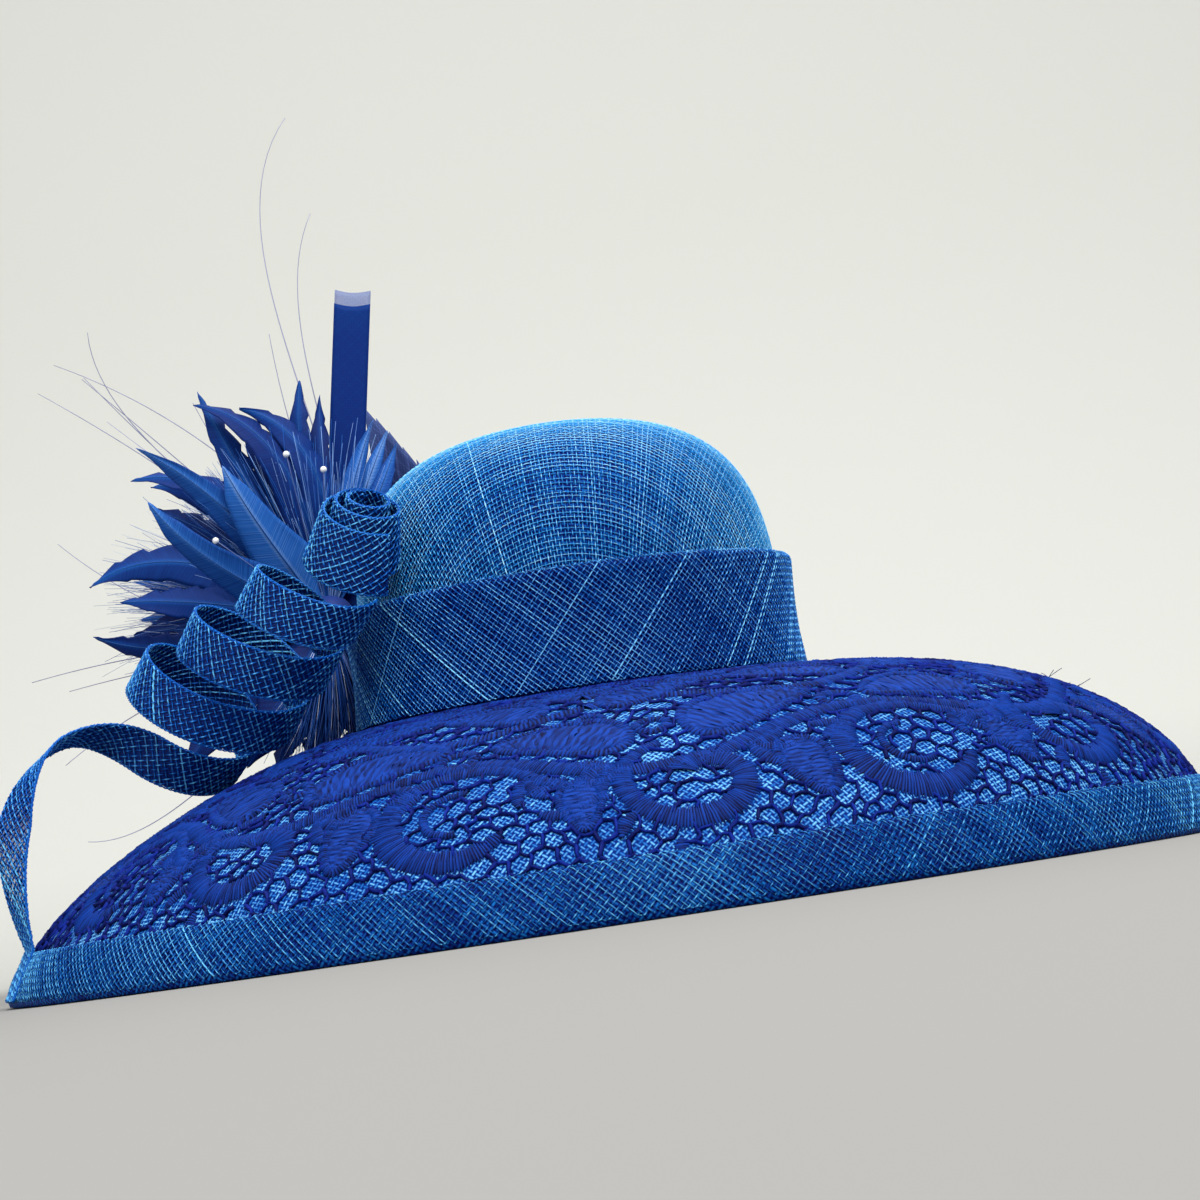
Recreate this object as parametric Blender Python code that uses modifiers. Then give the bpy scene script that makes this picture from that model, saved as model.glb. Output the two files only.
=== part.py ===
"""Wide-brim dress hat: blocked crown and brim, lace, bound rim, band, ribbon and feather trimming.

Metres, +Z up. The hat faces -Y, its trimming is on -X, and it rests on its rim at Z = 0.
"""

import math

import bmesh
import bpy
import numpy as np
from mathutils import Vector
from mathutils.bvhtree import BVHTree

# Overall sizes of the block
BRIM_HALF_WIDTH = 0.2470
BRIM_HALF_DEPTH = 0.2420
BRIM_DROP = 0.0870
CROWN_HALF_WIDTH = 0.0880
CROWN_HALF_DEPTH = 0.0990
CROWN_RISE = 0.1160
COLLAR_HEIGHT = 0.0120

# Walls and clearances
CROWN_WALL = 0.0015
BRIM_WALL = 0.0014
LACE_THICKNESS = 0.0010
BINDING_WALL = 0.0010
BINDING_WIDTH = 0.0200
PIECE_GAP = 0.0003
SEAT_GAP = 0.0004

# Band round the crown
BAND_HEIGHT = 0.0470
BAND_WALL = 0.0025
BAND_STANDOFF = 0.0040

# Ribbon, rose and curl
RIBBON_WIDTH = 0.0200
RIBBON_WALL = 0.0012
ROSE_RADIUS = 0.0200
ROSE_CORE_RADIUS = 0.0060
ROSE_WIDTH = 0.0250
ROSE_TURNS = 2.6
ROSE_FIRST_ANGLE = math.radians(100.0)
ROSE_LEAN_FRONT = math.radians(32.0)
ROSE_LEAN_SIDE = math.radians(18.0)
ROSE_RISE = 0.0300
CURL_RADIUS = 0.0330
CURL_PITCH = 0.0335
CURL_CLEARANCE = 0.0020
CURL_SPLAY = math.radians(22.0)
TAIL_LIFT = 0.0500
TAIL_DROP = 0.0620
TAIL_END_HEIGHT = 0.0020
TAIL_STEPS = 11

# Feathers and quills
PETAL_LENGTH = 0.1130
PETAL_WIDTH = 0.0290
PETAL_WALL = 0.0011
LOCK_LENGTH = 0.1000
LOCK_WIDTH = 0.0200
FLOWER_HEAD_RADIUS = 0.0130
FLOWER_RISE = 0.0060
QUILL_LENGTH = 0.2450
QUILL_BASE_RADIUS = 0.0009
QUILL_TIP_RADIUS = 0.0004
QUILL_HEAD_RADIUS = 0.0080
QUILL_DROP = 0.0060
PEARL_RADIUS = 0.0015
STAMEN_WIRE_RADIUS = 0.0004
STAMEN_LENGTH = 0.0820

# Sheer ribbon
STRIP_WIDTH = 0.0160
STRIP_WALL = 0.0010
STRIP_HEIGHT = 0.1560
STRIP_LEAN = math.radians(10.0)
STRIP_STANDOFF = 0.0055
STRIP_TUCK = 0.0060
PLEAT_WALL = 0.0010
PLEAT_DEPTH = 0.0070
PLEAT_HEIGHT = 0.1190
PLEAT_TUCK = 0.0180
PLEAT_FIRST_ANGLE = math.radians(139.0)
PLEAT_LAST_ANGLE = math.radians(121.0)

# Shape of the block's section: a higher power bulges more before it turns down to the rim
ROUNDNESS_WEARERS_LEFT = 2.05
ROUNDNESS_WEARERS_RIGHT = 1.48
CROWN_SIDE_POWER = 2.5
CROWN_TOP_POWER = 4.5
SHARP_ANGLE = math.radians(40.0)
# Spread of the rose's outer wrap towards its foot as a slope, and its slip down as a share of the width
ROSE_FLARE = 0.22
ROSE_SLIP = 0.32
# Share of the wall by which the slanted rim's inner edge hangs below its outer one
RIM_SLANT = 0.6

# Division of the lofted surfaces, shared by crown, brim, lace, binding and band: their facets stay parallel
REPEATS = 8
REPEAT_COLUMNS = 5
SEGMENTS = REPEATS * REPEAT_COLUMNS
CROWN_ROWS = 6
TURN_STEPS = 12

# One repeat of the lace from the crown to the binding: o is a gap in the net, - is a worked motif
LACE_CHART = (
    "-----",
    "o-o--",
    "o---o",
    "oo--o",
    "-oo--",
    "--o-o",
    "o---o",
)
# Corners of a gap as shares of its cell, across and down
GAP_OUTLINE = ((0.14, 0.50), (0.30, 0.14), (0.68, 0.14), (0.86, 0.50), (0.70, 0.86), (0.32, 0.86))

# Band from its foot to its top: share of the height, share of the standoff
BAND_SECTION = ((0.0, 1.0), (0.45, 0.62), (1.0, 0.92))

# Corkscrew from the tail to the rose: turns made, share of the radius, tilt in degrees of its wide axis
CURL_TURNS = (
    (0.00, 0.80, 50.0),
    (0.25, 0.84, 48.0),
    (1.25, 1.00, 37.0),
    (2.25, 0.84, 35.0),
    (3.25, 0.66, 40.0),
    (3.50, 0.62, 40.0),
)

# Petals: degrees anticlockwise from the wearer's left, lean to the front in degrees, share of the length,
# share of the width, sideways sweep, curl over the face and twist in degrees
PETALS = (
    (113, 10, 1.00, 0.74, -4, 14, 10),
    (92, 15, 1.04, 0.84, 72, 22, 24),
    (115, 19, 0.98, 0.80, 72, 18, 20),
    (122, 26, 1.00, 0.72, 26, 16, -16),
    (116, 9, 0.88, 1.00, 64, 10, 14),
    (148, 30, 0.84, 0.80, -28, 14, -20),
    (145, 12, 0.96, 0.94, 64, 16, 18),
    (186, 7, 0.90, 0.78, -33, 12, -14),
    (182, 2, 0.72, 0.86, -10, 18, 12),
    (93, 5, 0.92, 0.70, -13, 12, -18),
    (80, 12, 0.95, 0.80, 82, 14, 22),
    (86, 0, 0.86, 0.62, -4, 10, 12),
    (73, 7, 0.76, 0.56, -12, 12, 14),
    (67, 1, 0.74, 0.50, -6, 10, -12),
    (60, 4, 0.70, 0.50, 4, 12, 10),
    (104, 1, 0.86, 0.66, 6, 10, -12),
    (119, 30, 0.72, 1.00, -10, 12, 6),
    (134, 3, 0.80, 0.90, 20, 12, 10),
    (165, 20, 0.78, 0.86, 10, 14, 10),
)

# Hackle locks behind the petals, in the same columns
LOCKS = (
    (157, -6, 1.00, 1.0, 8, 6, 0),
    (168, -4, 0.94, 1.0, 8, 6, 0),
    (189, -3, 0.88, 1.0, 8, 6, 0),
    (204, -2, 0.70, 0.9, 8, 6, 0),
    (232, 3, 0.56, 0.7, 8, 6, 0),
    (128, -6, 0.86, 1.0, 8, 6, 0),
    (98, -6, 0.80, 1.0, 8, 6, 0),
)

# Quills: degrees anticlockwise, lean to the front, share of the length, sweep and hook in degrees
QUILLS = (
    (99, -1, 1.00, 6, -62),
    (98, 0, 0.80, 0, -42),
    (112, -1, 0.60, -20, 0),
    (130, -2, 0.56, -20, 0),
    (131, -3, 0.80, 4, -50),
    (112, -6, 0.82, 40, 0),
    (129, 0, 0.77, 14, 0),
    (134, -9, 0.76, -8, 0),
    (129, -7, 0.75, 3, 0),
    (131, -4, 0.65, 4, 0),
    (176, -2, 0.63, -44, 0),
    (168, -3, 0.64, 20, 0),
    (173, -6, 0.58, 14, 0),
    (173, -2, 0.62, 40, 0),
    (205, 0, 0.64, 20, -60),
)

# Pearls: degrees anticlockwise, lean to the front, share of the wire's length
STAMENS = ((138, 43, 0.84), (93, 38, 1.00), (80, 34, 0.86))

# Places on the trimmed side as shares of the band's half depth, from the front to the back
ROSE_PLACE, CURL_PLACE, FLOWER_PLACE, QUILL_PLACE = -0.84, -0.57, 0.25, 0.57
# Place of the tail's seat as a share of the way round the rim, from the wearer's left
TAIL_PLACE = 0.5375
# Directions: of the curl's axis up to the rose, of the tail as it comes down, of the rose towards its seat
CURL_AXIS = (0.68, -0.62, 0.40)
TAIL_ARRIVAL = (-0.20, 0.0, 1.0)
ROSE_SEAT_WAY = (0.85, 0.53, 0.0)

# Pleats from the upright ribbon round to the back: share of the height at each top
PLEAT_TOPS = (1.00, 0.96, 0.91, 0.85, 0.80, 0.74)

# Twist of the curl's tail on its way to the rim: share of the way, direction of the ribbon's width
TAIL_TWIST = ((0.30, 0.20, -0.95, 0.20), (0.70, 0.80, -0.60, 0.00))

# Petal outline from its root to its tip: share of the length, share of the width
PETAL_OUTLINE = ((0.0, 0.16), (0.30, 0.84), (0.56, 1.0), (0.82, 0.58))
# Height of a feather's rib as a share of its half width, and of the roots' depth in the head's radius
PETAL_RIB = 0.24
PETAL_ROOT, LOCK_ROOT = 0.7, 0.5
# Quill stations as shares of its length
QUILL_STATIONS = (0.0, 0.4, 0.8, 1.0)
# Height of the front strip as a share of the back one's, and how much lower a pleat's valley is
FRONT_STRIP_SHARE = 0.96
PLEAT_VALLEY = 0.03

COLLECTION = "wide_brim_hat"
CUTTERS = "feather_locks"

# Places that follow from the sizes
RIM_Z = BINDING_WALL + PIECE_GAP + BRIM_WALL * RIM_SLANT
CREST_Z = RIM_Z + BRIM_DROP
LACE_LIFT = PIECE_GAP
LACE_TOP = LACE_LIFT + LACE_THICKNESS
BINDING_LIFT = LACE_TOP + SEAT_GAP
BAND_FOOT_Z = CREST_Z + LACE_TOP + PIECE_GAP
BAND_TOP_Z = BAND_FOOT_Z + BAND_HEIGHT
BAND_HALF_WIDTH = CROWN_HALF_WIDTH + BAND_STANDOFF + BAND_WALL
BAND_HALF_DEPTH = CROWN_HALF_DEPTH + BAND_STANDOFF + BAND_WALL
ANGLES = np.arange(SEGMENTS) * 2 * math.pi / SEGMENTS


def start_collections():
    """Empties the scene and returns the collections for the pieces and for what is fused into them."""
    for thing in list(bpy.data.objects):
        bpy.data.objects.remove(thing, do_unlink=True)
    pieces = bpy.data.collections.new(COLLECTION)
    cutters = bpy.data.collections.new(CUTTERS)
    bpy.context.scene.collection.children.link(pieces)
    bpy.context.scene.collection.children.link(cutters)
    return pieces, cutters


def material(name, colour, roughness, metallic=0.0):
    """A plain surface with the piece's colour."""
    made = bpy.data.materials.new(name)
    made.use_nodes = True
    surface = made.node_tree.nodes["Principled BSDF"]
    surface.inputs["Base Color"].default_value = (*colour, 1.0)
    surface.inputs["Roughness"].default_value = roughness
    surface.inputs["Metallic"].default_value = metallic
    return made


def piece(name, points, faces, collection, finish=None):
    """An object from points in metres and faces, with its material."""
    mesh = bpy.data.meshes.new(name)
    mesh.from_pydata([tuple(float(c) for c in p) for p in points], [], [tuple(f) for f in faces])
    mesh.validate()
    if finish:
        mesh.materials.append(finish)
    made = bpy.data.objects.new(name, mesh)
    collection.objects.link(made)
    return made


def face_outwards(made):
    """Recalculates the normals of a closed mesh so that they point out."""
    work = bmesh.new()
    work.from_mesh(made.data)
    bmesh.ops.recalc_face_normals(work, faces=work.faces)
    work.to_mesh(made.data)
    work.free()


def thicken(made, wall, side):
    """Solidify: side 1 grows along the normals, -1 against them, 0 both ways."""
    shell = made.modifiers.new("wall", "SOLIDIFY")
    shell.thickness = wall
    shell.offset = side
    shell.use_even_offset = True
    shell.use_quality_normals = True


def smooth(made):
    made.data.shade_smooth()
    made.data.set_sharp_from_angle(angle=SHARP_ANGLE)


def evaluated_mesh(made):
    """The object's points and faces as its modifiers leave them."""
    bpy.context.view_layer.update()
    shape = made.evaluated_get(bpy.context.evaluated_depsgraph_get())
    mesh = shape.to_mesh()
    points = np.array([tuple(made.matrix_world @ v.co) for v in mesh.vertices])
    faces = [tuple(p.vertices) for p in mesh.polygons]
    shape.to_mesh_clear()
    return points, faces


def ring_faces(rows, columns, first=0):
    """Quads between rows of points that go once round, facing out for rows that run down or outwards."""
    faces = []
    for row in range(rows - 1):
        for column in range(columns):
            after = (column + 1) % columns
            a = first + row * columns + column
            b = first + row * columns + after
            faces.append((a, a + columns, b + columns, b))
    return faces


def strip_faces(rows, columns):
    """Quads between rows of points on an open sheet."""
    faces = []
    for row in range(rows - 1):
        for column in range(columns - 1):
            a = row * columns + column
            faces.append((a, a + columns, a + columns + 1, a + 1))
    return faces


def roundness(angle):
    """Power of the brim's section, higher on the wearer's left (+X) than on the right."""
    middle = (ROUNDNESS_WEARERS_LEFT + ROUNDNESS_WEARERS_RIGHT) / 2
    swing = (ROUNDNESS_WEARERS_LEFT - ROUNDNESS_WEARERS_RIGHT) / 2
    return middle + swing * math.cos(angle)


def brim_point(angle, share):
    """Top of the brim at an angle, a share of the way from the crown's foot to the rim."""
    inner_x = CROWN_HALF_WIDTH + PIECE_GAP
    inner_y = CROWN_HALF_DEPTH + PIECE_GAP
    power = roundness(angle)
    height = (1 - min(share, 1.0) ** power) ** (1 / power)
    return np.array([
        (inner_x + share * (BRIM_HALF_WIDTH - inner_x)) * math.cos(angle),
        (inner_y + share * (BRIM_HALF_DEPTH - inner_y)) * math.sin(angle),
        RIM_Z + BRIM_DROP * height,
    ])


def brim_shares(angle):
    """Shares of the brim's rows at an angle: even along the section to the binding's edge, then the rim."""
    fine = np.sin(np.linspace(0, math.pi / 2, 300)) ** (2 / roundness(angle))
    line = np.array([brim_point(angle, s) for s in fine])
    length = np.concatenate([[0], np.cumsum(np.linalg.norm(np.diff(line, axis=0), axis=1))])
    edge = length[-1] - BINDING_WIDTH
    marks = list(np.linspace(0, edge, len(LACE_CHART) + 1)) + [length[-1]]
    return np.interp(marks, length, fine)


def brim_grid():
    """Rows by angles of points on top of the brim, and their normals."""
    grid = np.array([[brim_point(a, s) for s in brim_shares(a)] for a in ANGLES]).transpose(1, 0, 2)
    down = np.gradient(grid, axis=0)
    across = np.roll(grid, -1, axis=1) - np.roll(grid, 1, axis=1)
    normals = np.cross(down, across)
    normals /= np.linalg.norm(normals, axis=2, keepdims=True)
    return grid, normals


def rounds(half_width, half_depth, height):
    """One level ring of points on an ellipse."""
    level = np.full(SEGMENTS, height)
    return np.stack([half_width * np.cos(ANGLES), half_depth * np.sin(ANGLES), level], axis=1)


def crown_profile():
    """Shares of the crown's radius and rise, even along its side and top, from the foot to the apex."""
    turn = np.linspace(0, math.pi / 2, 400)
    reach = np.cos(turn) ** (2 / CROWN_SIDE_POWER)
    rise = np.sin(turn) ** (2 / CROWN_TOP_POWER)
    step = np.hypot(np.diff(reach) * CROWN_HALF_WIDTH, np.diff(rise) * CROWN_RISE)
    length = np.concatenate([[0], np.cumsum(step)])
    marks = np.linspace(0, length[-1], CROWN_ROWS + 1)
    return list(zip(np.interp(marks, length, reach), np.interp(marks, length, rise)))


def make_crown(collection):
    """Round crown, open below, with its foot on the brim round the collar."""
    foot = CREST_Z + PIECE_GAP
    profile = crown_profile()[::-1]
    points = [(0, 0, foot + CROWN_RISE)]
    for reach, rise in profile[1:]:
        points.extend(rounds(CROWN_HALF_WIDTH * reach, CROWN_HALF_DEPTH * reach, foot + CROWN_RISE * rise))
    faces = [(0, 1 + i, 1 + (i + 1) % SEGMENTS) for i in range(SEGMENTS)]
    faces += ring_faces(len(profile) - 1, SEGMENTS, 1)
    crown = piece("crown", points, faces, collection, material("crown_sinamay", (0.03, 0.22, 0.62), 0.55))
    thicken(crown, CROWN_WALL, -1)
    smooth(crown)
    return crown


def make_brim(collection, grid):
    """Mushroom brim with the collar that stands inside the crown."""
    inset = CROWN_WALL + PIECE_GAP
    collar = [
        rounds(CROWN_HALF_WIDTH - inset, CROWN_HALF_DEPTH - inset, CREST_Z + COLLAR_HEIGHT),
        rounds(CROWN_HALF_WIDTH - inset, CROWN_HALF_DEPTH - inset, CREST_Z),
    ]
    rows = np.concatenate([collar, grid])
    brim = piece(
        "brim",
        rows.reshape(-1, 3),
        ring_faces(len(rows), SEGMENTS),
        collection,
        material("brim_sinamay", (0.04, 0.30, 0.72), 0.55),
    )
    thicken(brim, BRIM_WALL, -1)
    smooth(brim)
    return brim


def gap_in_cell(points, faces, corners):
    """Replaces one cell of the lace by the ring of faces round a six-sided gap."""
    a, d, c, b = corners
    first = len(points)
    for across, down in GAP_OUTLINE:
        top = points[a] * (1 - across) + points[b] * across
        low = points[d] * (1 - across) + points[c] * across
        points.append(top * (1 - down) + low * down)
    left, top_left, top_right, right, low_right, low_left = range(first, first + 6)
    faces += [
        (a, top_left, top_right, b),
        (b, top_right, right),
        (b, right, c),
        (c, right, low_right),
        (c, low_right, low_left, d),
        (d, low_left, left),
        (d, left, a),
        (a, left, top_left),
    ]


def make_lace(collection, grid, normals):
    """Pierced lace skin over the whole brim, its edge tucked into the binding."""
    lower = grid + normals * LACE_LIFT
    points = list(lower.reshape(-1, 3))
    faces = []
    for index, face in enumerate(ring_faces(len(lower), SEGMENTS)):
        row, column = divmod(index, SEGMENTS)
        pierced = row < len(LACE_CHART) and LACE_CHART[row][column % REPEAT_COLUMNS] == "o"
        if pierced:
            gap_in_cell(points, faces, face)
        else:
            faces.append(face)
    lace = piece("brim_lace", points, faces, collection, material("lace", (0.035, 0.05, 0.40), 0.7))
    thicken(lace, LACE_THICKNESS, 1)
    return lace


def make_binding(collection, grid, normals):
    """Folded binding: outer leg over the lace, level foot at Z = 0, inner leg under the brim."""
    edge, rim = grid[-2:]
    edge_out, rim_out = normals[-2:]

    def down_to(height, lift):
        """The lower leg at a lift off the brim, carried on in its own plane to a height."""
        high, low = edge + edge_out * lift, rim + rim_out * lift
        share = (high[:, 2] - height) / (high[:, 2] - low[:, 2])
        return high + (low - high) * share[:, None]

    outer = BINDING_LIFT + BINDING_WALL
    inner = -(BRIM_WALL + PIECE_GAP)
    loops = [
        edge + edge_out * outer,
        down_to(0.0, outer),
        down_to(0.0, inner - BINDING_WALL),
        edge + edge_out * (inner - BINDING_WALL),
        edge + edge_out * inner,
        down_to(BINDING_WALL, inner),
        down_to(BINDING_WALL, BINDING_LIFT),
        edge + edge_out * BINDING_LIFT,
    ]
    loops.append(loops[0])
    rows = np.array(loops)
    faces = ring_faces(len(rows), SEGMENTS)
    total = (len(rows) - 1) * SEGMENTS
    faces = [tuple(i % total for i in face) for face in faces]
    finish = material("binding_sinamay", (0.02, 0.18, 0.55), 0.55)
    binding = piece("rim_binding", rows[:-1].reshape(-1, 3), faces, collection, finish)
    face_outwards(binding)
    return binding


def make_band(collection):
    """Folded band that stands off the crown's foot."""
    rows = []
    for height, standoff in reversed(BAND_SECTION):
        off = BAND_STANDOFF * standoff
        z = BAND_FOOT_Z + BAND_HEIGHT * height
        rows.append(rounds(CROWN_HALF_WIDTH + off, CROWN_HALF_DEPTH + off, z))
    band = piece(
        "crown_band",
        np.array(rows).reshape(-1, 3),
        ring_faces(len(rows), SEGMENTS),
        collection,
        material("band_sinamay", (0.02, 0.16, 0.52), 0.55),
    )
    thicken(band, BAND_WALL, 1)
    smooth(band)
    return band


def samples(points, faces, apart=0.003):
    """Points for measuring a mesh: its corners and points along its edges, no further apart than asked."""
    edges = {tuple(sorted((a, b))) for face in faces for a, b in zip(face, face[1:] + face[:1])}
    extra = [points]
    for a, b in edges:
        parts = math.ceil(np.linalg.norm(points[b] - points[a]) / apart)
        shares = np.arange(1, parts)[:, None] / parts
        extra.append(points[a] + (points[b] - points[a]) * shares)
    return np.concatenate(extra)


def travel_to_seat(points, faces, carriers, direction, far=0.4):
    """How far a loose shape goes along a direction until it is SEAT_GAP short of the first carrier."""
    along = np.array(direction, float)
    along /= np.linalg.norm(along)
    back = points - along * far
    moving = BVHTree.FromPolygons([tuple(p) for p in back], [tuple(f) for f in faces])
    free = math.inf
    for carrier in carriers:
        held_points, held_faces = carrier
        held = BVHTree.FromPolygons([tuple(p) for p in held_points], [tuple(f) for f in held_faces])
        for p in samples(back, faces):
            hit = held.ray_cast(Vector(p), Vector(along))
            if hit[0] is not None:
                free = min(free, hit[3])
        for p in samples(held_points, held_faces):
            hit = moving.ray_cast(Vector(p), Vector(-along))
            if hit[0] is not None:
                free = min(free, hit[3])
    if free == math.inf:
        return np.zeros(3)
    return along * (free - far - SEAT_GAP)


def unit(vector):
    return np.array(vector, float) / np.linalg.norm(vector)


def make_tape(name, centres, rulings, width, wall, collection, finish):
    """A ribbon along its centres, as wide as its rulings are turned, with an even wall."""
    rows = []
    for centre, ruling in zip(centres, rulings):
        half = unit(ruling) * width / 2
        rows.extend([centre - half, centre + half])
    tape = piece(name, rows, strip_faces(len(centres), 2), collection, finish)
    thicken(tape, wall, 0)
    return tape


def turned(vector, axis, angle):
    """A vector turned about an axis."""
    axis = unit(axis)
    vector = np.array(vector, float)
    return (
        vector * math.cos(angle)
        + np.cross(axis, vector) * math.sin(angle)
        + axis * axis.dot(vector) * (1 - math.cos(angle))
    )


def shift(made, offset):
    """Moves an object's own points."""
    for vertex in made.data.vertices:
        vertex.co += Vector(offset)
    made.data.update()


def make_rose(collection, carriers, finish):
    """Strip rolled into a rose, its top open to the front, seated against the crown's side over the band."""
    up = unit((math.sin(ROSE_LEAN_SIDE), -math.sin(ROSE_LEAN_FRONT), math.cos(ROSE_LEAN_FRONT)))
    side = unit(np.cross((0, 1, 0), up))
    deep = np.cross(up, side)
    centres, rulings = [], []
    steps = round(ROSE_TURNS * TURN_STEPS)
    for step in range(steps + 1):
        share = step / steps
        angle = ROSE_FIRST_ANGLE + share * ROSE_TURNS * 2 * math.pi
        radius = ROSE_CORE_RADIUS + (ROSE_RADIUS - ROSE_CORE_RADIUS) * share
        out = side * math.cos(angle) + deep * math.sin(angle)
        centres.append(out * radius - up * ROSE_SLIP * ROSE_WIDTH * share**2)
        rulings.append(up - out * ROSE_FLARE * share)
    place = np.array([-BAND_HALF_WIDTH, ROSE_PLACE * BAND_HALF_DEPTH, BAND_TOP_Z + ROSE_RISE])
    centres = np.array(centres) + place
    rose = make_tape("ribbon_rose", centres, rulings, ROSE_WIDTH, RIBBON_WALL, collection, finish)
    shift(rose, travel_to_seat(*evaluated_mesh(rose), carriers, ROSE_SEAT_WAY))
    return rose


def corkscrew(turn):
    """Centre and ruling of the curl at a number of turns from the tail, its last turn at the origin."""
    made, shares, tilts = np.array(CURL_TURNS).T
    radius = CURL_RADIUS * np.interp(turn, made, shares)
    tilt = math.radians(np.interp(turn, made, tilts))
    wide = np.array([math.cos(tilt), 0, -math.sin(tilt)])
    ruling = np.array([
        math.cos(CURL_SPLAY) * math.sin(tilt),
        -math.sin(CURL_SPLAY),
        math.cos(CURL_SPLAY) * math.cos(tilt),
    ])
    deep = np.cross(ruling, wide)
    middle = unit(CURL_AXIS) * CURL_PITCH * (turn - CURL_TURNS[-2][0])
    angle = 2 * math.pi * turn
    return middle - radius * (wide * math.cos(angle) + deep * math.sin(angle)), ruling


def make_curl(collection, lace, band, grid, normals, finish):
    """Corkscrew ribbon beside the band, down on the lace, its tail arching to its seat on the binding."""
    first, last = CURL_TURNS[1][0], CURL_TURNS[-1][0]
    turns = np.linspace(last, first, round((last - first) * TURN_STEPS) + 1)
    line = [corkscrew(turn) for turn in turns]
    place = np.array([-BAND_HALF_WIDTH, CURL_PLACE * BAND_HALF_DEPTH, BAND_TOP_Z])
    centres = np.array([centre for centre, _ in line]) + place
    rulings = [ruling for _, ruling in line]
    trial = make_tape("trial_curl", centres, rulings, RIBBON_WIDTH, RIBBON_WALL, collection, finish)
    points, faces = evaluated_mesh(trial)
    bpy.data.objects.remove(trial, do_unlink=True)
    inwards = travel_to_seat(points, faces, [band], (1, 0, 0)) - np.array([CURL_CLEARANCE, 0, 0])
    down = travel_to_seat(points + inwards, faces, [lace], (0, 0, -1))
    centres = centres + inwards + down
    column = round(TAIL_PLACE * SEGMENTS)
    lift = BINDING_LIFT + BINDING_WALL + SEAT_GAP + RIBBON_WALL / 2
    seats = []
    for row in (-2, -1):
        pair = [grid[row, c] + normals[row, c] * lift for c in (column, column + 1)]
        seats.append((pair[0] + pair[1]) / 2)
    along_rim = unit(grid[-1, column + 1] - grid[-1, column])
    upwards = unit(seats[0] - seats[1])
    foot = seats[1] + upwards * (TAIL_END_HEIGHT - seats[1][2]) / upwards[2]
    start, leave = centres[-1], unit(centres[-1] - centres[-2])
    arrive = seats[0] + unit(TAIL_ARRIVAL) * TAIL_DROP
    route = []
    widths = np.array([(0.0, *rulings[-1]), *TAIL_TWIST, (1.0, *along_rim)])
    for step in range(1, TAIL_STEPS + 1):
        share = step / TAIL_STEPS
        rest = 1 - share
        knots = (start, start + leave * TAIL_LIFT, arrive, seats[0])
        weights = (rest**3, 3 * rest**2 * share, 3 * rest * share**2, share**3)
        route.append(sum(w * k for w, k in zip(weights, knots)))
        rulings.append(np.array([np.interp(share, widths[:, 0], widths[:, i]) for i in (1, 2, 3)]))
    route.append(foot)
    rulings.append(along_rim)
    line = np.concatenate([centres, np.array(route)])
    return make_tape("curled_ribbon", line, rulings, RIBBON_WIDTH, RIBBON_WALL, collection, finish)


def aim(turn, lean):
    """Direction at an angle anticlockwise in the front view, leaning towards the front."""
    turn, lean = math.radians(turn), math.radians(lean)
    return np.array([math.cos(turn) * math.cos(lean), -math.sin(lean), math.sin(turn) * math.cos(lean)])


def blade(name, root, row, length, width, outline, collection):
    """One feather: a bent, ribbed sheet from its root to a point, as a closed shape."""
    turn, lean, reach, breadth, sweep, curl, twist = row
    points = []
    place, before = np.array(root, float), 0.0
    for share, wide in outline + ((1.0, 0.0),):
        middle = (share + before) / 2
        along = aim(turn + sweep * middle**2, lean - curl * middle**2)
        place = place + along * (share - before) * length * reach
        before = share
        facing = unit(np.array([0, -1, 0]) - along * along[1] * -1)
        across = turned(np.cross(along, facing), along, math.radians(twist))
        rib = np.cross(across, along)
        half = width * breadth * wide / 2
        if wide:
            points += [place - across * half, place + rib * half * PETAL_RIB, place + across * half]
        else:
            points.append(place)
    last = len(outline) - 1
    faces = strip_faces(len(outline), 3)
    faces += [(3 * last, len(points) - 1, 3 * last + 1), (3 * last + 1, len(points) - 1, 3 * last + 2)]
    made = piece(name, points, faces, collection)
    thicken(made, PETAL_WALL, 0)
    return made


def ball(name, place, radius, collection, segments, rings):
    """A round head."""
    work = bmesh.new()
    bmesh.ops.create_uvsphere(work, u_segments=segments, v_segments=rings, radius=radius)
    mesh = bpy.data.meshes.new(name)
    work.to_mesh(mesh)
    work.free()
    made = bpy.data.objects.new(name, mesh)
    collection.objects.link(made)
    shift(made, place)
    return made


def wire(name, route, radii, collection):
    """A tapering tube along a route, made a closed mesh."""
    curve = bpy.data.curves.new(name, "CURVE")
    curve.dimensions = "3D"
    curve.bevel_depth = 1.0
    curve.bevel_resolution = 0
    curve.use_fill_caps = True
    spline = curve.splines.new("POLY")
    spline.points.add(len(route) - 1)
    for knot, place, radius in zip(spline.points, route, radii):
        knot.co = (*place, 1.0)
        knot.radius = radius
    drawn = bpy.data.objects.new(name + "_route", curve)
    collection.objects.link(drawn)
    bpy.context.view_layer.update()
    mesh = bpy.data.meshes.new_from_object(drawn.evaluated_get(bpy.context.evaluated_depsgraph_get()))
    bpy.data.objects.remove(drawn, do_unlink=True)
    work = bmesh.new()
    work.from_mesh(mesh)
    bmesh.ops.remove_doubles(work, verts=work.verts, dist=1e-6)
    work.to_mesh(mesh)
    work.free()
    made = bpy.data.objects.new(name, mesh)
    collection.objects.link(made)
    return made


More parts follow.
